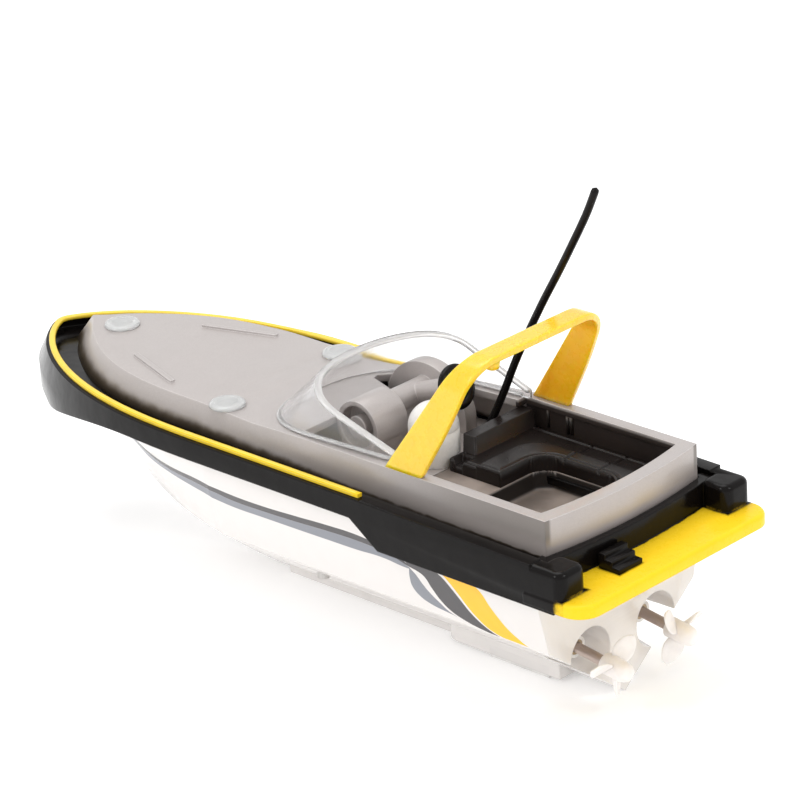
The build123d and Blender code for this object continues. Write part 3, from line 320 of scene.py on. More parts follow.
def relief_slab(name: str, x: np.ndarray, y: np.ndarray, top: np.ndarray, low: float) -> bpy.types.Object:
    """Closed slab whose upper side has the heights top over the grid of x and y, and whose underside is flat.

    The underside has the same grid, so the faces of both and of the four sides share their points.

    Args:
        name: Name of the piece.
        x: Grid lines along the boat.
        y: Grid lines across it.
        top: (len(x), len(y)) heights.
        low: Height of the underside.

    Returns:
        The new piece.
    """
    rows, columns = len(x), len(y)
    plan = np.stack(np.meshgrid(x, y, indexing="ij"), -1)
    points = np.stack([np.dstack([plan, top]), np.dstack([plan, np.full((rows, columns), low)])])
    upper = grid_faces(rows, columns)
    number = np.arange(rows * columns).reshape(rows, columns)
    edge = np.concatenate([number[:-1, 0], number[-1, :-1], number[:0:-1, -1], number[0, :0:-1]])
    after = np.roll(edge, -1)
    sides = np.stack([edge, after, after + rows * columns, edge + rows * columns], 1)
    faces = np.vstack([upper, upper[:, ::-1] + rows * columns, sides])
    return tidy(mesh_piece(name, points, faces.tolist()), 0.001)


def softened(node: str, width: float, segments: int = 2, angle: float = 32.0) -> bpy.types.Object:
    """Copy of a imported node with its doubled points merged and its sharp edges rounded.

    Args:
        node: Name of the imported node.
        width: Width of the rounding in millimetres.
        segments: Faces across each rounding.
        angle: Edges sharper than this many degrees are rounded.

    Returns:
        The new piece.
    """
    piece = bpy.data.objects.new(f"{node}_body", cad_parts[node].data.copy())
    bpy.context.scene.collection.objects.link(piece)
    tidy(piece, flatten=0.6)
    piece.data.shade_smooth()
    rounding = piece.modifiers.new("edge rounding", "BEVEL")
    for key, value in (("width", width * MM), ("segments", segments), ("limit_method", "ANGLE"),
                       ("angle_limit", math.radians(angle)), ("use_clamp_overlap", True), ("harden_normals", True)):
        setattr(rounding, key, value)
    return piece


# ---- Finishes ----------------------------------------------------------------------------


class Value:
    """Output of a node; arithmetic on it adds Math nodes to the same tree."""

    def __init__(self, graph: "Graph", socket: bpy.types.NodeSocket) -> None:
        """Holds the socket and its graph."""
        self.graph, self.socket = graph, socket

    def __add__(self, other: "Value | float") -> "Value":
        """Sum."""
        return self.graph.maths("ADD", self, other)

    def __sub__(self, other: "Value | float") -> "Value":
        """Difference."""
        return self.graph.maths("SUBTRACT", self, other)

    def __rsub__(self, other: float) -> "Value":
        """A number less this value."""
        return self.graph.maths("SUBTRACT", other, self)

    def __mul__(self, other: "Value | float") -> "Value":
        """Product."""
        return self.graph.maths("MULTIPLY", self, other)

    def __truediv__(self, other: "Value | float") -> "Value":
        """Quotient."""
        return self.graph.maths("DIVIDE", self, other)

    def __pow__(self, other: float) -> "Value":
        """Power."""
        return self.graph.maths("POWER", self, other)

    def __abs__(self) -> "Value":
        """Distance from nought."""
        return self.graph.maths("ABSOLUTE", self)

    def at_least(self, other: "Value") -> "Value":
        """The larger of this value and another."""
        return self.graph.maths("MAXIMUM", self, other)


class Graph:
    """Node tree of one material; place is the object's own coordinates in millimetres and x, y and z their parts."""

    def __init__(self, name: str) -> None:
        """Starts an empty material with its shader, output and coordinates.

        Args:
            name: Name of the material.
        """
        self.material = bpy.data.materials.new(name)
        self.material.use_nodes = True
        self.tree = self.material.node_tree
        self.tree.nodes.clear()
        self.shader = self.tree.nodes.new("ShaderNodeBsdfPrincipled")
        output = self.tree.nodes.new("ShaderNodeOutputMaterial")
        self.tree.links.new(self.shader.outputs["BSDF"], output.inputs["Surface"])
        self.place = self.node("Mapping", "Vector", {"Vector": self.node("TexCoord", "Object"), "Scale": (1 / MM,) * 3})
        self.x, self.y, self.z = self.parts(self.place)

    def put(self, target: bpy.types.NodeSocket, value: Value | float | Sequence[float]) -> None:
        """Joins a value to an input, or writes a constant on it."""
        if isinstance(value, Value):
            self.tree.links.new(value.socket, target)
        else:
            target.default_value = value

    def node(self, kind: str, result: str | int, inputs: dict | None = None, **settings: object) -> Value:
        """Adds a node.

        Args:
            kind: Its type, without the ShaderNode in front.
            result: Name or number of the output asked for.
            inputs: Values and constants, by name or number of the input.
            settings: Properties of the node.

        Returns:
            The output asked for.
        """
        made = self.tree.nodes.new(f"ShaderNode{kind}")
        for key, setting in settings.items():
            setattr(made, key, setting)
        for key, value in (inputs or {}).items():
            self.put(made.inputs[key], value)
        return Value(self, made.outputs[result])

    def parts(self, vector: Value) -> Iterator[Value]:
        """Splits a vector.

        Args:
            vector: The vector.

        Returns:
            Its x, y and z in turn.
        """
        split = self.tree.nodes.new("ShaderNodeSeparateXYZ")
        self.put(split.inputs["Vector"], vector)
        return (Value(self, output) for output in split.outputs)

    def fix(self, **values: object) -> None:
        """Sets constants on the shader's own sockets, with underscores for the spaces in their names."""
        for key, value in values.items():
            self.shader.inputs[key.replace("_", " ")].default_value = value

    def feed(self, **values: Value) -> None:
        """Joins values to the shader's inputs, with underscores for the spaces in their names."""
        for key, value in values.items():
            self.put(self.shader.inputs[key.replace("_", " ")], value)

    def maths(self, operation: str, a: Value | float, b: Value | float = 0.0, clamp: bool = False) -> Value:
        """Result of one arithmetic operation on two numbers."""
        return self.node("Math", 0, {0: a, 1: b}, operation=operation, use_clamp=clamp)

    def rise(self, value: Value, low: float, high: float) -> Value:
        """Smooth step from 0 where value is at low to 1 where it is at high."""
        return self.node("MapRange", "Result", {"Value": value, "From Min": low, "From Max": high},
                         interpolation_type="SMOOTHSTEP")

    def curve(self, value: Value, points: Line) -> Value:
        """Smooth curve of a value.

        Args:
            value: Where the curve is read.
            points: (value, result) pairs that the curve passes through.

        Returns:
            The curve's result.
        """
        given = np.asarray(points, float)
        low = given.min(0)
        span = np.maximum(given.max(0) - low, 1e-6)
        node = self.tree.nodes.new("ShaderNodeFloatCurve")
        line = node.mapping.curves[0]
        for k, (a, b) in enumerate((given - low) / span):
            spot = line.points[k] if k < 2 else line.points.new(a, b)
            spot.location = (a, b)
        node.mapping.update()
        self.put(node.inputs["Value"], self.maths("DIVIDE", value - float(low[0]), float(span[0]), clamp=True))
        return Value(self, node.outputs["Value"]) * float(span[1]) + float(low[1])

    def noise(self, scale: float, detail: float = 3.0, roughness: float = 0.5,
              stretch: Point = (1.0, 1.0, 1.0)) -> Value:
        """Cloudy noise from nought to one.

        Args:
            scale: Lumps to the millimetre.
            detail: Octaves.
            roughness: Strength of the finer octaves.
            stretch: Scale along each axis, on top of scale.

        Returns:
            The noise's value.
        """
        place = self.node("Mapping", "Vector", {"Vector": self.place, "Scale": stretch})
        return self.node("TexNoise", "Fac", {"Vector": place, "Scale": scale, "Detail": detail, "Roughness": roughness})

    def cells(self, scale: float) -> Value:
        """Random value of small cells, from nought to one."""
        found = self.node("TexVoronoi", "Color", {"Vector": self.place, "Scale": scale})
        return self.node("SeparateColor", "Red", {"Color": found})

    def mix(self, share: Value, a: Value | Colour, b: Value | Colour) -> Value:
        """Colour a where share is nought and b where it is one."""
        ends = {key: end if isinstance(end, Value) else (*end, 1.0) for key, end in ((6, a), (7, b))}
        return self.node("Mix", 2, {0: share, **ends}, data_type="RGBA")

    def level(self) -> Value:
        """One on level faces and nought on upright ones."""
        return self.rise(list(self.parts(self.node("NewGeometry", "Normal")))[2], 0.35, 0.9)

    def edges(self, radius: float) -> Value:
        """Mask of edges, found by how far rounding the surface turns its normal.

        Args:
            radius: Radius of the rounding in millimetres.

        Returns:
            One on edges and nought on flat places.
        """
        rounded = self.node("Bevel", "Normal", {"Radius": radius * MM}, samples=4)
        pair = {0: self.node("NewGeometry", "Normal"), 1: rounded}
        return self.rise(self.node("VectorMath", "Value", pair, operation="DOT_PRODUCT"), 0.995, 0.85)

    def relief(self, *layers: tuple[Value, float], rounding: float) -> None:
        """Bump of the surface.

        Args:
            layers: Pairs of a height from nought to one and its depth in millimetres.
            rounding: Radius in millimetres by which hard edges look rounded.
        """
        normal = self.node("Bevel", "Normal", {"Radius": rounding * MM}, samples=6)
        for height, depth in layers:
            normal = self.node("Bump", "Normal", {"Strength": 1.0, "Distance": depth * MM, "Height": height,
                                                  "Normal": normal})
        self.feed(Normal=normal)


def dimmed(colour: Colour, share: float) -> Colour:
    """Colour with each part multiplied by share."""
    return tuple(c * share for c in colour)


@dataclass(frozen=True)
class Finish:
    """Surface of some pieces, with its slot of the record."""

    name: str
    slot: Slot | None
    colour: Colour

    def paint(self, graph: Graph) -> None:
        """Lays the colour, the gloss and the relief on a new graph."""
        raise NotImplementedError

    def make(self) -> bpy.types.Material:
        """Makes the material.

        Returns:
            The painted material.
        """
        graph = Graph(self.name)
        self.paint(graph)
        return graph.material


@dataclass(frozen=True)
class Plastic(Finish):
    """Moulded or painted plastic: slight mottling, worn paler edges and the faint waviness of a moulding."""

    roughness: float = 0.3
    coat: float = 0.3
    mottle: float = 0.06
    wear: float = 0.1
    ripple: float = 0.012
    grain: float = 0.0
    subsurface: float = 0.0
    specular: float = 0.5
    glow: Colour = (0.9, 0.9, 0.85)

    def paint(self, graph: Graph) -> None:
        """Lays the mottled colour with its worn edges, an uneven gloss and the waviness.

        Args:
            graph: Graph of the material.
        """
        paler = tuple(min(1.0, c + self.wear * (0.6 - 0.5 * c)) for c in self.colour)
        cloudy = graph.mix(graph.rise(graph.noise(0.35, 4.0), 0.3, 0.7), dimmed(self.colour, 1 - 2 * self.mottle),
                           self.colour)
        graph.feed(Base_Color=graph.mix(graph.edges(0.25) * graph.noise(1.4, 4.0, 0.6), cloudy, paler),
                   Roughness=graph.noise(0.8, 4.0, 0.6) * 0.16 + (self.roughness - 0.08))
        graph.fix(Coat_Weight=self.coat, Coat_Roughness=0.12, IOR=1.5, Specular_IOR_Level=self.specular)
        if self.subsurface:
            graph.fix(Subsurface_Weight=self.subsurface, Subsurface_Radius=self.glow, Subsurface_Scale=0.003)
        layers = [(graph.noise(0.25, 2.0), self.ripple * 6), (graph.noise(5.0, 2.0), self.ripple)]
        if self.grain:
            layers.append((graph.noise(9.0, 3.0, 0.7), self.grain))
        graph.relief(*layers, rounding=0.16)


@dataclass(frozen=True)
class Metal(Finish):
    """Bare metal part with fine turning or drawing marks along one axis."""

    roughness: float = 0.3

    def paint(self, graph: Graph) -> None:
        """Lays the marks in the colour, the gloss and the relief.

        Args:
            graph: Graph of the material.
        """
        marks = graph.noise(2.0, 4.0, 0.6, stretch=(0.3, 6.0, 6.0))
        graph.feed(Base_Color=graph.mix(marks, dimmed(self.colour, 0.72), self.colour),
                   Roughness=marks * 0.25 + (self.roughness - 0.1))
        graph.fix(Metallic=1.0)
        graph.relief((marks, 0.012), rounding=0.1)


@dataclass(frozen=True)
class ClearPlastic(Finish):
    """Clear injection-moulded plastic, with faint flow lines and tiny scratches."""

    roughness: float = 0.03
    haze: float = 0.0
    lumps: float = 0.02
    ior: float = 1.46

    def paint(self, graph: Graph) -> None:
        """Sets the clearness and lays the scratches and the flow lines.

        Args:
            graph: Graph of the material.
        """
        graph.fix(Base_Color=(*self.colour, 1.0), IOR=self.ior, Transmission_Weight=1.0 - self.haze)
        scratches = graph.noise(3.0, 5.0, 0.7, stretch=(0.4, 1.0, 1.6))
        graph.feed(Roughness=scratches * 0.06 + self.roughness)
        graph.relief((graph.noise(0.3, 2.0), self.lumps), (scratches, 0.004), rounding=0.1)


@dataclass(frozen=True)
class SilverPaint(Finish):
    """Silver-grey spray paint with fine flake, painted highlights on its edges, painted shade on its upright sides, a
    foot darkened by overspray and painted shade, and painted shade inside the well.
    """

    flake: Colour = (0.68, 0.64, 0.62)
    # edge: painted highlight, a paler colour along the edges for the light they catch
    edge: Colour = (0.92, 0.89, 0.87)
    shaded: Colour = (0.16, 0.14, 0.125)
    # low_shade: painted shade on the lower upright sides aft, darker than the paint
    low_shade: Colour = (0.40, 0.355, 0.335)
    # olive and dark, with foot and foot_reach below: the cabin's foot darkened by overspray and by painted shade
    olive: Colour = (0.16, 0.12, 0.085)
    dark: Colour = (0.03, 0.022, 0.014)
    # well_shade: painted shade, a near black on the well's inner walls
    well_shade: Colour = (0.045, 0.034, 0.03)
    foot: float = 27.4
    foot_reach: Line = ((-54, 0.5), (-20, 1.0), (0, 1.8), (20, 2.3), (60, 2.7))
    shade: Line = ((-56, 0.9), (-45, 0.85), (-30, 0.45), (-12, 0.1), (5, 0.0))
    well: tuple[float, float, float, float, float] = (-52.9, 1.45, -23.6, 15.4, 32.85)

    def shade_in_well(self, graph: Graph) -> Value:
        """Mask of the painted shade inside the well, whose aft end, bow, fore end, half width and top are the field
        well.

        Args:
            graph: Graph of the material.

        Returns:
            One on the well's inner walls and nought elsewhere.
        """
        aft, bow, fore, half, top = self.well
        bowed = graph.x + (1.0 - (graph.y / half) ** 2.0) * bow
        return (graph.rise(bowed, aft - 0.25, aft - 0.1) * graph.rise(graph.x, fore + 0.1, fore)
                * (graph.rise(graph.z, top + 0.25, top - 0.25) * graph.rise(abs(graph.y), half + 0.1, half)))

    def overspray_and_shade(self, graph: Graph, paint: Value) -> Value:
        """Fades the paint through olive to dark over the height foot_reach above the foot, but not indoors; the dark
        foot is overspray from the black deck together with painted shade where the cabin meets it.

        Args:
            graph: Graph of the material.
            paint: Colour of the clean paint.

        Returns:
            The colour with its dark foot.
        """
        # overspray and painted shade: darker towards the foot
        height = graph.z + (graph.noise(0.5) - 0.5) * 0.7 - self.foot
        indoors = graph.rise(abs(graph.y), 15.0, 14.5) * graph.rise(graph.x, 9.0, 8.0)
        clear_of_foot = graph.rise(height / graph.curve(graph.x, self.foot_reach), 0.0, 1.0).at_least(indoors)
        return graph.mix(clear_of_foot, self.dark, graph.mix(graph.rise(clear_of_foot, 0.25, 1.0), self.olive, paint))

    def paint(self, graph: Graph) -> None:
        """Lays flake, painted highlights on the edges, painted shade on the upright sides, the foot darkened by
        overspray and painted shade, and painted shade inside the well.

        Args:
            graph: Graph of the material.
        """
        flakes, upright = graph.cells(14.0), 1.0 - graph.level()
        colour = graph.mix(graph.noise(0.3), dimmed(self.colour, 0.93), self.colour)
        colour = graph.mix(flakes * 0.3, colour, self.flake)
        # painted highlight: edges mixed towards the pale edge colour
        colour = graph.mix(graph.edges(0.22) * 0.6, colour, self.edge)
        outside = upright * graph.rise(abs(graph.y), 15.2, 15.8)
        colour = graph.mix(outside * graph.curve(graph.x, self.shade), colour, self.shaded)
        # painted shade: the low upright sides aft darkened where the black deck shades them
        low = graph.rise(graph.z, 31.0, 28.5) * upright
        colour = graph.mix(low * graph.rise(graph.x, 0.0, -20.0), colour, self.low_shade)
        colour = self.overspray_and_shade(graph, colour)
        # painted shade: the well's inner walls turned near black
        graph.feed(Base_Color=graph.mix(self.shade_in_well(graph), colour, self.well_shade),
                   Roughness=flakes * 0.12 + (graph.noise(1.2) * 0.12 + 0.26))
        graph.fix(Metallic=0.25, Coat_Weight=0.25, Coat_Roughness=0.15)
        graph.relief((graph.noise(0.2, 2.0), 0.05), (flakes, 0.004), (graph.noise(7.0), 0.005), rounding=0.3)


@dataclass(frozen=True)
class TrayPaint(Finish):
    """Thin silver-brown paint on the level faces of the stern tray, and painted shade in near black on its upright
    walls.
    """

    # wall: painted shade, near black on the upright walls
    wall: Colour = (0.02, 0.016, 0.014)

    def paint(self, graph: Graph) -> None:
        """Lays the cloudy floor, the painted shade on the upright walls and an uneven gloss.

        Args:
            graph: Graph of the material.
        """
        cloudy = graph.mix(graph.rise(graph.noise(0.12), 0.3, 0.75), dimmed(self.colour, 0.45), self.colour)
        # painted shade: level faces keep the paint, upright faces turn near black
        graph.feed(Base_Color=graph.mix(graph.level(), self.wall, cloudy),
                   Roughness=graph.noise(0.8, 4.0) * 0.14 + 0.26)
        graph.fix(Specular_IOR_Level=0.35)
        graph.relief((graph.noise(0.25, 2.0), 0.06), (graph.noise(6.0), 0.008), rounding=0.3)


@dataclass(frozen=True)
class Stripe:
    """Painted stripe between two curves: of height against distance forward, or of distance against height."""

    colour: Colour
    far: Line
    near: Line
    run: Run = Run.HEIGHT

    def mask(self, graph: Graph) -> Value:
        """Mask of the stripe, with its start and, along the length, its end cut square.

        Args:
            graph: Graph of the material.

        Returns:
            One inside the stripe and nought outside it.
        """
        lengthwise = self.run is Run.LENGTH
        along, across = (graph.x, graph.z) if lengthwise else (graph.z, graph.x)
        start, end = max(self.far[0][0], self.near[0][0]), min(self.far[-1][0], self.near[-1][0])
        inside = (graph.rise(graph.curve(along, self.far) - across, -0.04, 0.04)
                  * graph.rise(across - graph.curve(along, self.near), -0.04, 0.04)
                  * graph.rise(along, start - 0.05, start + 0.05))
        return inside * (1.0 - graph.rise(along, end - 0.05, end + 0.05)) if lengthwise else inside


@dataclass(frozen=True)
class PrintedHull(Finish):
    """Gloss white moulding with printed racing stripes along both sides."""

    stripes: tuple[Stripe, ...]

    def paint(self, graph: Graph) -> None:
        """Lays the white, the stripes clear of the keel, and a wet gloss.

        Args:
            graph: Graph of the material.
        """
        colour = graph.mix(graph.noise(0.3, 4.0), dimmed(self.colour, 0.95), self.colour)
        side = graph.rise(abs(graph.y), 1.0, 2.5)
        for stripe in self.stripes:
            colour = graph.mix(stripe.mask(graph) * side, colour, stripe.colour)
        graph.feed(Base_Color=colour, Roughness=graph.noise(0.9, 4.0) * 0.14 + 0.16)
        graph.fix(Coat_Weight=0.4, Coat_Roughness=0.08, Subsurface_Weight=0.08,
                  Subsurface_Radius=(0.9, 0.85, 0.8), Subsurface_Scale=0.0015)
        graph.relief((graph.noise(0.22, 2.0), 0.06), (graph.noise(4.0), 0.01), rounding=0.25)


@dataclass(frozen=True)
class SprayedDeck(Finish):
    """Gloss black deck whose stern platform is sprayed yellow, with soft edges round the blocks and the tab."""

    blocks: tuple[Box, ...]
    worn: Colour = (0.012, 0.011, 0.010)
    yellow: Colour = (1.0, 0.66, 0.02)
    edge: float = -58.25
    bow: float = 1.4
    half: float = 17.9
    platform: Box = (21.0, 21.6, 24.5, 25.0)
    bead: tuple[float, float] = (29.04, -22.5)

    def spray(self, graph: Graph) -> Value:
        """Share of yellow: on the platform behind the rail, clear of the blocks' boxes.

        Args:
            graph: Graph of the material.

        Returns:
            One on yellow places and nought on black ones.
        """
        wavy = (graph.noise(0.5, 1.0) - 0.5) * 0.5
        behind = graph.x - (graph.y / self.half) ** 2.0 * self.bow
        share = graph.rise(behind + wavy, self.edge + 0.3, self.edge - 0.3)
        for x, y, half_length, half_width in self.blocks:
            outside = (abs(graph.x - x) - half_length).at_least(abs(graph.y - y) - half_width)
            share = share * graph.rise(outside + wavy, -0.45, 0.65)
        under, low, high, over = self.platform
        return share * (graph.rise(graph.z, under, low) * graph.rise(graph.z, over, high))

    def paint(self, graph: Graph) -> None:
        """Lays the black, the sprayed yellow with its dust, the painted bead and the gloss.

        Args:
            graph: Graph of the material.
        """
        black = graph.mix(graph.edges(0.3) * graph.noise(1.1, 4.0), self.colour, self.worn)
        yellow = graph.mix(graph.noise(0.25), dimmed(self.yellow, 0.9), self.yellow)
        grainy = graph.rise(self.spray(graph) + (graph.cells(7.0) * 0.12 - 0.06), 0.1, 0.9)
        z, x = self.bead
        bead = graph.rise(graph.z, z - 0.02, z + 0.02) * graph.rise(graph.x, x - 0.1, x + 0.1)
        graph.feed(Base_Color=graph.mix(grainy.at_least(bead), black, yellow),
                   Roughness=graph.noise(1.0, 4.0, 0.6) * 0.12 + (grainy * 0.12 + 0.1))
        graph.fix(Specular_IOR_Level=0.13)
        graph.relief((graph.noise(0.25, 2.0), 0.08), (graph.noise(3.5), 0.01), rounding=0.3)


# ---- Scene -------------------------------------------------------------------------------


@dataclass
class Studio:
    """Pale floor, soft lights and the camera."""

    distance: float = 0.6156
    azimuth: float = 45.21
    height_angle: float = 23.44
    roll: float = -3.32
    target: Point = (-3.201, 0.0, 28.861)
    offset: tuple[float, float] = (-6.249, -3.147)
    lens: float = 185.75
    sensor: float = 36.0
    surroundings: float = 0.95
    floor_half: float = 4000.0
    aim: Point = (0.0, 0.0, 0.03)
    lamps: tuple[tuple[str, Point, float, float], ...] = (
        ("overhead", (0.25, -0.1, 0.9), 0.6, 3.0), ("left", (0.2, 0.8, 0.6), 0.16, 1.3),
        ("behind", (-0.7, -0.1, 0.65), 0.14, 1.0))

    def camera(self) -> None:
        """Makes the camera, turned by its roll about the line of sight, and hands it to the scene."""
        a, e, r = (math.radians(v) for v in (self.azimuth, self.height_angle, self.roll))
        back = Vector((-math.cos(a) * math.cos(e), math.sin(a) * math.cos(e), math.sin(e)))
        level = (-back).cross(Vector(UP)).normalized()
        upward = level.cross(-back)
        right = level * math.cos(r) + upward * math.sin(r)
        up = upward * math.cos(r) - level * math.sin(r)
        place = (Vector(self.target) * MM - right * self.offset[0] * MM - up * self.offset[1] * MM
                 + back * self.distance)
        data = bpy.data.cameras.new("camera")
        data.sensor_width, data.lens = self.sensor, self.lens
        data.clip_start, data.clip_end = 0.01, 20.0
        eye = bpy.data.objects.new("camera", data)
        eye.matrix_world = Matrix.Translation(place) @ Matrix((right, up, back)).transposed().to_4x4()
        bpy.context.scene.collection.objects.link(eye)
        bpy.context.scene.camera = eye

    def floor(self) -> None:
        """Wide pale floor that fades into the backdrop."""
        corners = np.array([(-1, -1, 0), (1, -1, 0), (1, 1, 0), (-1, 1, 0)]) * self.floor_half
        piece = mesh_piece("floor", corners, [(0, 1, 2, 3)])
        graph = Graph("pale floor")
        graph.feed(Base_Color=graph.mix(graph.noise(0.01, 2.0), (0.93, 0.93, 0.93), (0.95, 0.95, 0.95)))
        graph.fix(Roughness=0.9, Specular_IOR_Level=0.1, Emission_Color=(1.0, 1.0, 1.0, 1.0), Emission_Strength=0.2)
        piece.data.materials.append(graph.material)

    def lights(self) -> None:
        """White surroundings and square soft lights, each given by name, place in metres, size and power."""
        world = bpy.data.worlds.new("studio")
        world.use_nodes = True
        background = world.node_tree.nodes["Background"]
        background.inputs["Color"].default_value = (1.0, 1.0, 1.0, 1.0)
        background.inputs["Strength"].default_value = self.surroundings
        bpy.context.scene.world = world
        for name, place, size, power in self.lamps:
            data = bpy.data.lights.new(name, "AREA")
            data.size, data.energy = size, power
            lamp = bpy.data.objects.new(name, data)
            turn = (Vector(self.aim) - Vector(place)).to_track_quat("-Z", "Y")
            lamp.matrix_world = Matrix.Translation(Vector(place)) @ turn.to_matrix().to_4x4()
            bpy.context.scene.collection.objects.link(lamp)
        bpy.context.scene.view_settings.view_transform = "Standard"

    def build(self) -> None:
        """Makes everything that isn't the boat."""
        self.camera()
        self.floor()
        self.lights()


# ---- Finishes of this boat ---------------------------------------------------------------

CHARCOAL, SLATE, AMBER = (0.07, 0.065, 0.068), (0.23, 0.24, 0.27), (1.0, 0.53, 0.01)
SEAM = ((-24, 20.5), (-19.3, 20.66), (-13.5, 20.44), (-6.6, 20.0), (0.1, 19.7), (5.8, 19.6), (10.6, 20.0),
        (15.4, 20.2), (20.6, 20.4), (25.2, 21.2), (28.7, 22.6), (32, 24.7))
HULL_PRINT = PrintedHull("printed white hull", Slot.HULL_WHITE, (0.80, 0.765, 0.74), (
    Stripe(CHARCOAL, ((-30.6, 19.15), (-29.22, 19.83), (-24, 21.3), (-19.6, 21.8), (-13.9, 21.6), (-6.9, 21.1),
                      (0, 20.7), (5.4, 20.65), (10.3, 20.9), (15, 21.1), (20.2, 21.2), (24.7, 21.8),
                      (28.6, 23.2), (32, 25.0)),
           ((-30.6, 19.1), (-29.3, 19.35), *SEAM), Run.LENGTH),
    Stripe(SLATE, ((-29.64, 19.12), (-29.0, 19.4), *SEAM),
           ((-29.64, 19.0), (-29.3, 18.9), (-24, 19.2), (-19, 18.9), (-13, 18.75), (-6.1, 18.6), (0.5, 18.5),
            (6.2, 18.4), (11, 18.7), (17.5, 19.2), (22.4, 19.8), (26, 20.4), (28.7, 22.0), (32, 24.4)), Run.LENGTH),
    Stripe(SLATE, ((12.95, -37.48), (13.22, -34.76), (13.55, -32.36), (14.3, -30.38), (15.6, -29.2),
                   (17.25, -29.07), (19.07, -29.46), (19.3, -29.5)),
           ((12.95, -37.48), (13.41, -35.75), (14.44, -34.19), (15.62, -32.66), (16.92, -31.48), (18.18, -30.61),
            (19.12, -29.64), (19.3, -29.5))),
    Stripe(CHARCOAL, ((12.1, -45.36), (12.26, -41.92), (12.94, -38.1), (13.69, -36.15), (14.87, -34.62),
                      (16.67, -33.29), (18.63, -32.0), (19.15, -30.59), (19.83, -29.22), (22.6, -26.0)),
           ((12.1, -45.36), (12.49, -43.82), (13.39, -41.93), (14.76, -40.17), (16.4, -38.79), (18.04, -37.42),
            (19.52, -36.0), (20.25, -34.82), (22.6, -31.5))),
    Stripe(AMBER, ((12.2, -46.0), (12.88, -43.32), (14.29, -41.26), (15.77, -39.84), (17.56, -38.51),
                   (19.2, -37.14), (20.14, -36.18), (22.6, -33.5)),
           ((12.1, -54.2), (12.2, -50.72), (13.09, -48.85), (14.1, -47.32), (15.58, -45.91), (17.36, -44.59),
            (19.44, -43.35), (20.22, -42.35), (22.6, -39.6)))))
SILVER = SilverPaint("silver paint", Slot.SILVER, (0.43, 0.39, 0.376))
COCKPIT = SilverPaint("silver cockpit", Slot.SILVER, (0.43, 0.39, 0.376), foot=20.0)
TRAY = TrayPaint("tray paint", Slot.SILVER, (0.36, 0.30, 0.265))
DECK = SprayedDeck("black deck, yellow stern", Slot.DECK_BLACK, (0.0045, 0.0036, 0.0033), (
    (-59.15, 17.9, 2.65, 2.8), (-59.15, -17.9, 2.65, 2.8), (-57.35, 19.6, 2.9, 2.4), (-57.35, -19.6, 2.9, 2.4),
    (-60.25, 6.6, 1.95, 2.5)))
YELLOW = Plastic("yellow paint", Slot.YELLOW, (0.95, 0.58, 0.015), roughness=0.28, coat=0.4, mottle=0.02, wear=0.0,
                 subsurface=0.6, glow=(1.0, 0.35, 0.05))
BEAD = Plastic("yellow bead", Slot.YELLOW, (0.93, 0.66, 0.04), roughness=0.35, coat=0.2)
BLACK = Plastic("black plastic", Slot.BLACK, (0.006, 0.0048, 0.0044), roughness=0.22, coat=0.0, grain=0.006,
                specular=0.14, wear=0.02)
BENCH = Plastic("bench plastic", Slot.BLACK, (0.012, 0.0085, 0.0075), coat=0.0, grain=0.008, wear=0.05, specular=0.3)
WHITE = Plastic("white plastic", Slot.WHITE, (0.86, 0.84, 0.81), roughness=0.28, subsurface=0.15, wear=0.02)
PROPELLER = Plastic("milky plastic", Slot.WHITE, (0.92, 0.87, 0.845), roughness=0.35, coat=0.1, subsurface=0.5,
                    wear=0.0, ripple=0.006)
SEAL = Plastic("rubber seal", Slot.SEAL, (0.02, 0.02, 0.02), roughness=0.7, coat=0.0, grain=0.02)
CLEAR = ClearPlastic("clear plastic", Slot.CLEAR, (0.995, 0.995, 1.0), ior=1.2, haze=0.07)
RIM = ClearPlastic("screen edge", Slot.CLEAR, (1.0, 0.985, 0.975), roughness=0.06, haze=0.35, lumps=0.05)
CAP = ClearPlastic("frosted caps", Slot.CLEAR, (0.95, 0.955, 0.95), roughness=0.08, haze=0.4, lumps=0.4)
GREY = Plastic("grey plastic", None, (0.06, 0.06, 0.065), roughness=0.45, coat=0.0, grain=0.012)
GREEN_WRAP = Plastic("green wrap", None, (0.02, 0.22, 0.07), roughness=0.25, coat=0.5)
BOARD = Plastic("circuit board", None, (0.01, 0.13, 0.04), roughness=0.35, coat=0.4)
STEEL = Metal("plain steel", None, (0.62, 0.60, 0.58))
SHAFT = Metal("dull shaft", None, (0.60, 0.50, 0.45), roughness=0.5)
BRASS = Metal("plain brass", None, (0.46, 0.36, 0.24), roughness=0.4)


def both(*names: str) -> tuple[str, ...]:
    """Names of paired nodes, port and starboard."""
    return tuple(f"{name}_{side.value}" for name in names for side in (Side.PORT, Side.STARBOARD))


CARRIED = {
    HULL_PRINT: ("lower_hull",),
    DECK: ("deck_moulding",),
    SILVER: ("superstructure", "cockpit_floor", "stern_tray"),
    YELLOW: ("roll_arch",),
    BLACK: ("release_tab", "bench_insert", "helm_wheel", "antenna_whip", "antenna_grommet"),
    WHITE: ("switch_plate", "cockpit_dome", *both("propeller", "shaft_tube")),
    CLEAR: ("windshield", "cap_bow", *both("cap")),
    SEAL: ("hull_gasket",),
    GREY: ("motor_cradle", "battery_saddles", "power_switch", "power_switch_slider", "charge_socket", "charge_plug",
           "board_parts", *both("motor_cap", "coupling")),
    STEEL: ("deck_screws", "strap_screw", "board_screws", "motor_strap", "water_contacts", "charge_socket_pin",
            "battery_cells", *both("motor_can", "motor_rotor")),
    SHAFT: both("propeller_shaft"),
    BRASS: both("shaft_bushes"),
    GREEN_WRAP: ("battery_wrap",),
    BOARD: ("receiver_board",),
}


# ---- Pieces of the boat ------------------------------------------------------------------


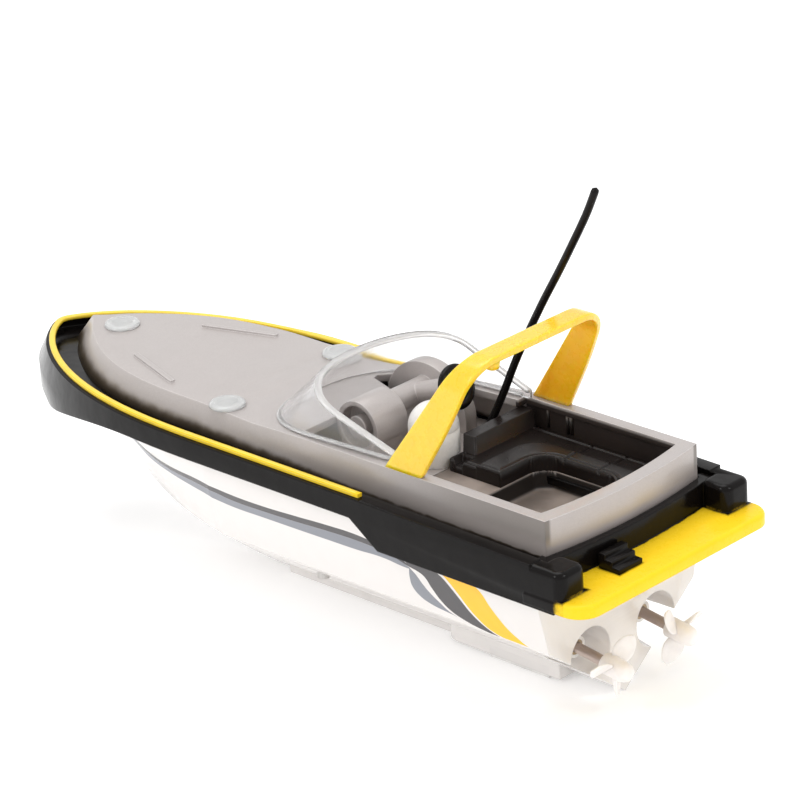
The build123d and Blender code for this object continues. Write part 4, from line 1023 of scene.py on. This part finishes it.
@dataclass
class Wardrobe:
    """Materials of the boat, each made once."""

    made: dict[str, bpy.types.Material] = field(default_factory=dict)

    def wear(self, piece: bpy.types.Object, finish: Finish) -> None:
        """Gives a piece one finish over its whole surface.

        Args:
            piece: The piece.
            finish: Its finish.
        """
        if finish.name not in self.made:
            self.made[finish.name] = finish.make()
        piece.data.materials.clear()
        piece.data.materials.append(self.made[finish.name])


@dataclass
class Assembly:
    """Group of pieces dressed from one wardrobe."""

    wardrobe: Wardrobe

    def fit(self, piece: bpy.types.Object, finish: Finish, node: str | None = None, body: str = "boat") -> None:
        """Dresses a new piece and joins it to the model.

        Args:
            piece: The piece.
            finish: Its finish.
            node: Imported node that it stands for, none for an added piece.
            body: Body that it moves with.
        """
        self.wardrobe.wear(piece, finish)
        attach(piece, body)
        if node:
            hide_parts(node)
        log.info("%s: %d faces", piece.name, len(piece.data.polygons))


@dataclass
class Screen(Assembly):
    """Clear wraparound windshield with a thick rounded rim and a foot flange."""

    front: float = 6.05
    aft: float = -25.2
    foot: float = 31.8
    height: float = 8.8
    rake: float = 9.2
    side_share: float = 0.42
    half: tuple[float, float] = (14.3, 15.2)
    reach: tuple[float, float] = (15.0, 12.0)
    power: tuple[float, float] = (2.6, 2.1)
    wall: float = 0.8
    proud: float = 0.1
    rim: tuple[float, float] = (0.75, 0.36)
    flange: tuple[float, float] = (0.8, 0.22)
    sweep: Line = ((-25.4, 34.45), (-21, 35.9), (-15.15, 37.78), (-11, 39.3), (-8, 40.2), (-5.5, 40.52), (-3.0, 40.55))
    cabin: Line = ((-60, 33.25), (-24.05, 33.25), (-6.95, 32.5), (4.05, 31.8), (70, 31.8))

    def outline(self, share: np.ndarray, level: int) -> np.ndarray:
        """Plan of the screen, from port aft round to starboard aft.

        The sides are straight; the front is the curve |a| ** power + |b| ** power = 1, read by
        a = sin(t) ** (2 / power), b = cos(t) ** (2 / power).

        Args:
            share: Places along the plan, from nought to one.
            level: 0 for the foot and 1 for the rim.

        Returns:
            (len(share), 2) array.
        """
        k = 1 - np.abs(2 * share - 1)
        half, reach, power = self.half[level], self.reach[level], self.power[level]
        front = self.front - level * self.rake
        t = np.clip((k - self.side_share) / (1 - self.side_share), 0, 1) * math.pi / 2
        straight = self.aft + (front - reach - self.aft) * k / self.side_share
        x = np.where(k < self.side_share, straight, front - reach + reach * np.sin(t) ** (2 / power))
        return np.stack([x, half * np.abs(np.cos(t)) ** (2 / power) * np.where(share < 0.5, 1, -1)], 1)

    def meet(self, low: np.ndarray, high: np.ndarray, line: np.ndarray) -> np.ndarray:
        """Rise at which the ruled surface between two plans meets a line of height against distance.

        The rise is halved towards (line(x) - foot) / height, x being where the surface is at that rise.

        Args:
            low: Plan of the foot.
            high: Plan of the rim.
            line: (distance forward, height) pairs.

        Returns:
            Rise at each place along the plans.
        """
        rise = np.full(len(low), 0.5)
        for _ in range(60):
            x = low[:, 0] + rise * (high[:, 0] - low[:, 0])
            rise = 0.5 * rise + 0.5 * (np.interp(x, *np.transpose(line)) - self.foot) / self.height
        return rise

    def build(self) -> None:
        """Makes the screen.

        A point is foot + rise * (rim - foot) on the ruled surface between the two outlines, with the
        rise running from the cabin's top line to the swept upper edge; the inner skin lies one wall
        inside it, and rounded bands thicken the rim and the foot.
        """
        share = np.linspace(0, 1, 181)
        low, high = self.outline(share, 0), self.outline(share, 1)
        first = self.meet(low, high, self.cabin) + 0.012
        last = self.meet(low, high, smooth_path(self.sweep, 80))
        first[[0, -1]] = np.minimum(first[[0, -1]], last[[0, -1]] - 0.02)
        rise = first[:, None] + (last - first)[:, None] * np.linspace(0, 1, 25)
        skin = np.dstack([low[:, None] + rise[..., None] * (high - low)[:, None], self.foot + rise * self.height])
        normal = np.cross(np.gradient(skin, axis=0), np.gradient(skin, axis=1))
        normal /= np.maximum(np.linalg.norm(normal, axis=2), 1e-9)[..., None]
        if normal[90, 12, 0] < 0:
            normal = -normal
        outer, inner = skin + normal * self.proud, skin - normal * (self.wall - self.proud)
        for side in (outer, inner):
            side[..., 2] = np.maximum(side[..., 2], skin[:, :1, 2])
        self.fit(looped("screen_shell", np.concatenate([outer, inner[:, ::-1]], axis=1)), CLEAR, "windshield")
        middle = skin - normal * (0.5 * self.wall - self.proud)
        self.edge("screen_rim", middle[:, -1] - [0, 0, 0.25], self.rim)
        self.edge("screen_flange", (middle[:, 0] + [0, 0, 0.22])[3:-3], self.flange)

    def edge(self, name: str, line: np.ndarray, half: tuple[float, float]) -> None:
        """Makes a rounded band along a line of the screen.

        Args:
            name: Name of the piece.
            line: Points along the middle of the band.
            half: Half width and half height of the band.
        """
        ends = rounded_end(np.abs(np.linspace(-1, 1, 240)), 0.985, 0.03)
        self.fit(swept(name, smooth_path(line, 240), superellipse(half[0] * 0.72, half[1], 2.6, 24), UP, ends), RIM)


@dataclass
class Arch(Assembly):
    """Yellow strap over the cockpit, its edges rounded, with a nub under its top."""

    foot: float = 33.25
    height: float = 18.75
    foot_half: float = 16.4
    top_half: float = 14.4
    corner: float = 5.5
    thickness: float = 1.1
    front: Line = ((33.25, -24.55), (42.6, -31.1), (52.0, -37.65))
    back: Line = ((33.25, -31.65), (42.6, -36.8), (52.0, -41.15))
    nub: tuple[float, float] = (-39.6, 8.8)

    def path(self) -> np.ndarray:
        """Middle of the strap in the plane across the boat: leg, round corner, top, corner, leg.

        Returns:
            (y, z) points from foot to foot.
        """
        t = self.thickness / 2
        foot = np.array([self.foot_half - t, self.foot])
        top = np.array([self.top_half - t, self.foot + self.height - t])
        leg = (foot - top) / np.linalg.norm(foot - top)
        radius = self.corner - t
        turn = math.acos(float(np.clip(leg[0], -1, 1)))
        cut = radius / math.tan((math.pi - turn) / 2)
        start, end = top + leg * cut, top + np.array([-cut, 0.0])
        middle = end + np.array([0, -radius])
        angle = np.linspace(math.atan2(*(start - middle)[::-1]), math.pi / 2, 16)
        bend = middle + radius * np.stack([np.cos(angle), np.sin(angle)], 1)
        straight = foot + np.linspace(0, 1, 24)[:, None] * (bend[0] - foot)
        half = np.vstack([straight[:-1], bend])
        across = np.linspace(half[-1, 0], -half[-1, 0], 30)[1:-1]
        flat = np.stack([across, np.full(28, half[-1, 1])], 1)
        return np.vstack([half, flat, (half * [-1, 1])[::-1]])

    def build(self) -> None:
        """Makes the strap: a point is (middle + a * half width, path + b * normal) over a rounded oblong (a, b)."""
        line = self.path()
        ahead = np.gradient(line, axis=0)
        ahead /= np.linalg.norm(ahead, axis=1)[:, None]
        normal = np.stack([ahead[:, 1], -ahead[:, 0]], 1)
        front, back = (np.interp(line[:, 1], *smooth_path(side, 60).T) for side in (self.front, self.back))
        oblong = superellipse(1.0, self.thickness / 2, 7.0, 56)
        x = (front + back)[:, None] / 2 + (front - back)[:, None] / 2 * oblong[None, :, 0]
        yz = line[:, None] + oblong[None, :, 1, None] * normal[:, None]
        yz[0, :, 1] = yz[-1, :, 1] = self.foot + 0.02
        self.fit(looped("arch_strap", np.dstack([x, yz])), YELLOW, "roll_arch")
        self.fit(revolved("arch_nub", [(0, -1.3), (0.6, -1.3), (0.95, -1.1), (1.05, -0.6), (1.15, 0.2), (0, 0.2)],
                          (*self.nub, self.foot + self.height - self.thickness), steps=32), YELLOW)


@dataclass
class Antenna(Assembly):
    """Black whip, a little bent, with a rounded tip, in its rubber collar."""

    points: tuple[Point, ...] = ((-19.85, -9.6, 27.25), (-23.9, -9.6, 35.0), (-27.5, -9.6, 42.5), (-32.3, -9.6, 51.2),
                                 (-36.2, -9.6, 57.7), (-39.2, -9.6, 62.9), (-41.8, -9.6, 67.6), (-43.85, -9.6, 72.0))
    radius: float = 0.6
    collar_foot: float = 27.2

    def build(self) -> None:
        """Makes the rod, a circle carried along the curve through the points, and the turned collar."""
        size = self.radius * rounded_end(np.linspace(0, 1, 120), 0.985, 0.01)
        rod = swept("antenna_rod", smooth_path(self.points, 120), superellipse(1, 1, 2, 28), (0, 1, 0), size)
        self.fit(rod, BLACK, "antenna_whip")
        profile = [(0.75, 0.05), (2.15, 0.05), (2.2, 0.4), (1.9, 0.75), (1.35, 1.05), (1.15, 1.35), (0.85, 1.4),
                   (0.75, 1.2)]
        collar = revolved("antenna_collar", profile, (*self.points[0][:2], self.collar_foot), steps=48)
        self.fit(collar, SEAL, "antenna_grommet")


@dataclass
class Cap(Assembly):
    """Clear crowned cap with a dimpled top that closes a screw hole in the foredeck."""

    side: Side
    crown: Line = ((0.3, -0.01), (0.55, -0.03), (0.62, -0.1), (0.68, -0.03), (0.8, -0.06), (0.92, -0.17),
                   (0.98, -0.32), (1.0, -0.5), (1.0, -0.68))
    stem: Line = ((1.7, -0.69), (1.68, -2.25), (0.0, -2.25))

    def build(self) -> None:
        """Makes the cap as a turned profile, its crown in shares of the radius, with a stem below."""
        node = f"cap_{self.side.value}"
        low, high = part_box(node)
        centre = (low + high) / 2 / MM
        radius = (high.x - low.x) / 2 / MM
        profile = [(0, 0.0), *((radius * r, h) for r, h in self.crown), *self.stem]
        self.fit(revolved(f"{node}_disc", profile, (centre.x, centre.y, high.z / MM), steps=72), CAP, node)


@dataclass
class Hull(Assembly):
    """White hull with its printed stripes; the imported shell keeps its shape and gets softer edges."""

    def build(self) -> None:
        """Dresses the shell."""
        self.fit(softened("lower_hull", 0.35, 2, 28.0), HULL_PRINT, "lower_hull")


@dataclass
class Deck(Assembly):
    """Black deck moulding with the yellow bead along its edge, and the ribbed tab at the stern."""

    half: float = 19.52
    start: float = 11.25
    tip: float = 62.2
    aft: float = -22.3
    power: float = 2.45
    bluntness: float = 0.7
    low: float = 28.95
    tall: float = 0.72
    wide: float = 0.5

    def edge(self) -> np.ndarray:
        """Middle of the bead in plan, from port aft round the bow to starboard aft.

        The half-breadth is half * (1 - run ** power) ** bluntness over the curved part.

        Returns:
            (260, 2) array.
        """
        run = np.sin(np.linspace(0, math.pi / 2, 120)) ** 0.8
        breadth = self.half * np.abs(1 - run ** self.power) ** self.bluntness
        side = np.vstack([[self.aft, self.half], np.stack([self.start + (self.tip - self.start) * run, breadth], 1)])
        return smooth_path(np.vstack([side, (side * [1, -1])[::-1][1:]]), 260)

    def build(self) -> None:
        """Makes the bead, an oblong carried along the edge, and dresses the deck and the tab."""
        self.fit(softened("deck_moulding", 0.55, 4, 30.0), DECK, "deck_moulding")
        self.fit(softened("release_tab", 0.16), BLACK, "release_tab")
        plan = self.edge()
        path = np.column_stack([plan, np.full(len(plan), self.low + self.tall / 2)])
        ends = rounded_end(np.abs(2 * np.linspace(0, 1, len(plan)) - 1), 0.99, 0.02)
        self.fit(swept("gunwale_bead", path, superellipse(self.wide, self.tall / 2, 2.8, 24), UP, ends), BEAD)


@dataclass
class Cabin(Assembly):
    """Silver upper moulding, stern tray, bench and cockpit floor; boxes are (x0, x1, y0, y1)."""

    ledge: float = 27.2
    tray_plan: Box = (-51.6, -23.2, -14.4, 14.4)
    tray_low: float = 23.4
    pan: Box = (-49.2, -33.9, -6.9, 10.4)
    pan_corner: float = 3.0
    pan_floor: float = 24.3
    fillet: tuple[float, float] = (0.8, 1.1)
    seat_plan: Box = (-51.5, -23.2, -14.4, 3.4)
    band: float = 29.6
    ring: float = 29.1
    hollow: Box = (-49.2, -33.9, -6.9, 30.0)
    groove: Box = (-60.0, -28.7, -10.5, 30.0)
    bench: Box = (-51.4, -23.35, -14.3, 2.3)
    wall: Box = (-26.15, -23.35, -14.3, -1.0)
    wall_top: float = 31.9
    seams: tuple[float, float] = (38.2, 44.8)
    ribs: Line = ((-27.9, 0.22), (-31.75, 0.3), (-32.45, 0.3))

    def build(self) -> None:
        """Dresses the mouldings with softened edges and makes the well's inside."""
        self.fit(softened("superstructure", 0.3, 3, 30.0), SILVER, "superstructure")
        self.fit(softened("cockpit_floor", 0.25, 3, 30.0), COCKPIT, "cockpit_floor")
        self.tray()
        self.seat()

    def tray(self) -> None:
        """Makes the tray: a level ledge whose height steps down inside the rounded outline of the pan."""
        x, y = np.linspace(*self.tray_plan[:2], 180), np.linspace(*self.tray_plan[2:], 180)
        inside = rounded_box(*np.meshgrid(x, y, indexing="ij"), self.pan, self.pan_corner)
        sunk = smoothstep(-inside, 0.0, 0.3)
        tall, wide = self.fillet
        bowl = (self.ledge - self.pan_floor) * sunk - tall * np.clip(1 + inside / wide, 0, 1) ** 2 * sunk
        self.fit(relief_slab("tray_floor", x, y, self.ledge - bowl, self.tray_low), TRAY, "stern_tray")

    def seat(self) -> None:
        """Makes the bench with its band, grooves, port step and forward wall, and the ribs beside it.

        The height is the largest of several steps over distances to rounded boxes, less narrow grooves
        of depth exp(-(distance / width) ** 2) and a three-cornered pocket.
        """
        x, y = np.linspace(*self.seat_plan[:2], 236), np.linspace(*self.seat_plan[2:], 160)
        a, b = np.meshgrid(x, y, indexing="ij")
        low = self.pan_floor - 0.2
        plan = np.maximum(rounded_box(a, b, self.bench, 0.8), -rounded_box(a, b, self.hollow, 3.2))
        line = rounded_box(a, b, self.groove, 5.0)
        wall = rounded_box(a, b, self.wall, 0.4)
        top = np.maximum(step(plan, self.ring - low), step(np.maximum(plan, line + 0.25), self.band - low))
        top = np.maximum(top, step(wall, self.wall_top - low))
        cross = np.minimum(*(np.abs(a + seam + 0.05 * b) for seam in self.seams))
        cut = 0.3 * np.exp(-(cross / 0.16) ** 2) * smoothstep(-b, 6.9, 7.3)
        cut += 0.25 * np.exp(-(np.abs(plan + 0.9) / 0.15) ** 2)
        pocket = np.maximum(np.maximum(a + 24.0, -26.4 - a), 0.75 * (a + 24.0) + b - 1.5)
        cut += 1.0 * smoothstep(-np.maximum(pocket, -(b + 0.5)), 0.0, 0.15)
        top = low + np.maximum(top - np.where((plan < -0.05) & (wall > 0.1), cut, 0.0), 0.0)
        self.fit(relief_slab("bench_cushion", x, y, top, low - 0.3), BENCH, "bench_insert")
        for number, (place, radius) in enumerate(self.ribs):
            self.fit(revolved(f"well_rib_{number}", [(0, 0), (radius, 0), (radius, 2.9), (0, 2.9)],
                              (place, -15.0, self.ring), steps=24), TRAY)


@dataclass
class Helm(Assembly):
    """White domed fitting, and a black steering wheel with three spokes on its column."""

    dome: Point = (-19.3, 0.45, 27.2)
    radius: float = 3.8
    stem: float = 5.4
    neck: Point = (-9.1, -6.4, 32.8)
    foot: float = 7.4
    column: float = 1.8
    tilt: float = 70.0
    size: float = 7.0

    def build(self) -> None:
        """Makes the dome as a turned profile: a straight stem, a seam line and a half-round top."""
        crown = [(self.radius * math.cos(t), self.stem + self.radius * math.sin(t))
                 for t in np.linspace(0, math.pi / 2, 24)]
        profile = [(self.radius - 0.1, 0.02), (self.radius, 0.2), (self.radius, self.stem - 0.3),
                   (self.radius - 0.12, self.stem - 0.18), (self.radius, self.stem - 0.06), *crown]
        self.fit(revolved("dome_cover", profile, self.dome), WHITE, "cockpit_dome")
        self.wheel()

    def wheel(self) -> None:
        """Makes the rim, a small circle carried round a large one, the spokes, the hub and the column."""
        tilt = math.radians(self.tilt)
        axis = np.array([math.sin(tilt), 0.0, -math.cos(tilt)])
        centre = np.array(self.neck) - axis * (self.foot + self.column)
        u, v = np.array([0.0, 1.0, 0.0]), np.cross(axis, [0.0, 1.0, 0.0])
        t = np.linspace(0, 2 * math.pi, 96, endpoint=False)[:, None]
        ring = centre + (self.size / 2 - 0.7) * (np.cos(t) * u + np.sin(t) * v)
        self.fit(swept("wheel_rim", ring, superellipse(0.68, 0.64, 2.2, 20), axis, close=True), BLACK, "helm_wheel")
        for number, turn in enumerate(math.radians(v) for v in (90, 210, 330)):
            out = math.cos(turn) * u + math.sin(turn) * v
            line = centre + np.linspace(0.9, self.size / 2 - 0.8, 14)[:, None] * out + 0.25 * axis
            self.fit(swept(f"wheel_spoke_{number}", line, superellipse(0.55, 0.28, 3, 20), axis,
                           np.linspace(1.15, 0.85, 14)), BLACK)
        hub = [(0, self.column + 0.1), (0.7, self.column + 0.1), (0.75, 0.75), (1.55, 0.6), (1.65, 0.2), (1.55, -0.2),
               (1.1, -0.42), (0.9, -0.3), (0, -0.3)]
        self.fit(revolved("wheel_hub", hub, centre, axis, 48), BLACK)


@dataclass
class Propeller(Assembly):
    """White three-bladed propeller: a bullet hub and twisted blades with rounded tips."""

    side: Side
    first: float
    radius: float = 5.3
    root: float = 1.1
    blades: int = 3
    tilt: float = 8.0
    chord: tuple[float, float] = (1.5, 1.75)
    tip_start: float = 0.72
    pitch: tuple[float, float] = (2.6, 1.2)
    skew: float = 0.35
    camber: float = 0.06
    thickness: tuple[float, float] = (0.85, 0.45)
    hub: Point = (-58.75, 7.1, 8.1)
    nose: Line = ((0, -3.4), (0.5, -3.3), (1.0, -3.0), (1.35, -2.45), (1.5, -1.8), (1.55, -1.0), (1.55, 1.55),
                  (1.45, 1.7), (0.85, 1.72), (0.8, 1.2))

    def __post_init__(self) -> None:
        """Works out the hub's centre, the direction forward along the shaft and two directions square to it."""
        self.hand = 1 if self.side is Side.PORT else -1
        tilt = math.radians(self.tilt)
        self.centre = np.array(self.hub) * [1, self.hand, 1]
        self.along, self.u = np.array([math.cos(tilt), 0.0, math.sin(tilt)]), np.array([0.0, 1.0, 0.0])
        self.v = np.cross(self.along, self.u)

    def blade(self, number: int) -> bpy.types.Object:
        """Makes one blade.

        At radius r the section is an ellipse-like lens of chord c(r) and thickness t(r), turned by the
        pitch angle p(r) = -atan(k / (r + c)) about the radius, and skewed back towards the tip.

        Args:
            number: Which blade, from nought.

        Returns:
            The new piece.
        """
        s = np.linspace(0, 1, 30)
        r = self.root + (self.radius - self.root) * s
        least, swell = self.chord
        chord = least + swell * np.sin(math.pi * s ** 0.8) ** 0.8
        chord *= np.sqrt(1 - np.clip((s - self.tip_start) / (1 - self.tip_start), 0, 1) ** 2 * 0.985)
        pitch = -np.arctan(self.pitch[0] / (r + self.pitch[1])) * self.hand
        section = superellipse(0.5, 0.5, 2.0, 28)
        camber = self.camber * (1 - (2 * section[:, 0]) ** 2)
        a = chord[:, None] * section[None, :, 0] + (self.skew * s ** 2)[:, None]
        root, thinning = self.thickness
        b = (root - thinning * s)[:, None] * section[None, :, 1] + chord[:, None] * camber[None]
        turn = math.radians(self.first + number * 360 / self.blades)
        d = math.cos(turn) * self.u + math.sin(turn) * self.v
        e = -math.sin(turn) * self.u + math.cos(turn) * self.v
        c, k = np.cos(pitch)[:, None], np.sin(pitch)[:, None]
        points = (self.centre + r[:, None, None] * d + (a * c - b * k)[..., None] * e
                  + (a * k + b * c)[..., None] * self.along)
        return looped(f"blade_{self.side.value}_{number}", points)

    def build(self) -> None:
        """Makes the hub and the blades."""
        side = self.side.value
        hub = revolved(f"hub_{side}", self.nose, self.centre, self.along, 64)
        self.fit(hub, PROPELLER, f"propeller_{side}", f"{side}_drive")
        for number in range(self.blades):
            self.fit(self.blade(number), PROPELLER, body=f"{side}_drive")


def corners(box: tuple[Vector, Vector]) -> list[list[float]]:
    """Two corners of a box as plain lists."""
    return [list(box[0]), list(box[1])]


def main() -> None:
    """Builds the boat's looks in order."""
    logging.basicConfig(level=logging.INFO, format="%(name)s: %(message)s")
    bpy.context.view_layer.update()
    Studio().build()
    wardrobe = Wardrobe()
    for finish, nodes in CARRIED.items():
        for node in nodes:
            wardrobe.wear(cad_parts[node], finish)
    for assembly in (Hull(wardrobe), Deck(wardrobe), Cabin(wardrobe), Screen(wardrobe), Arch(wardrobe),
                     Antenna(wardrobe), *(Cap(wardrobe, side) for side in Side), Helm(wardrobe),
                     Propeller(wardrobe, Side.PORT, 11.0), Propeller(wardrobe, Side.STARBOARD, 48.0)):
        log.info("building %s", type(assembly).__name__)
        assembly.build()


if __name__ == "__main__":
    main()
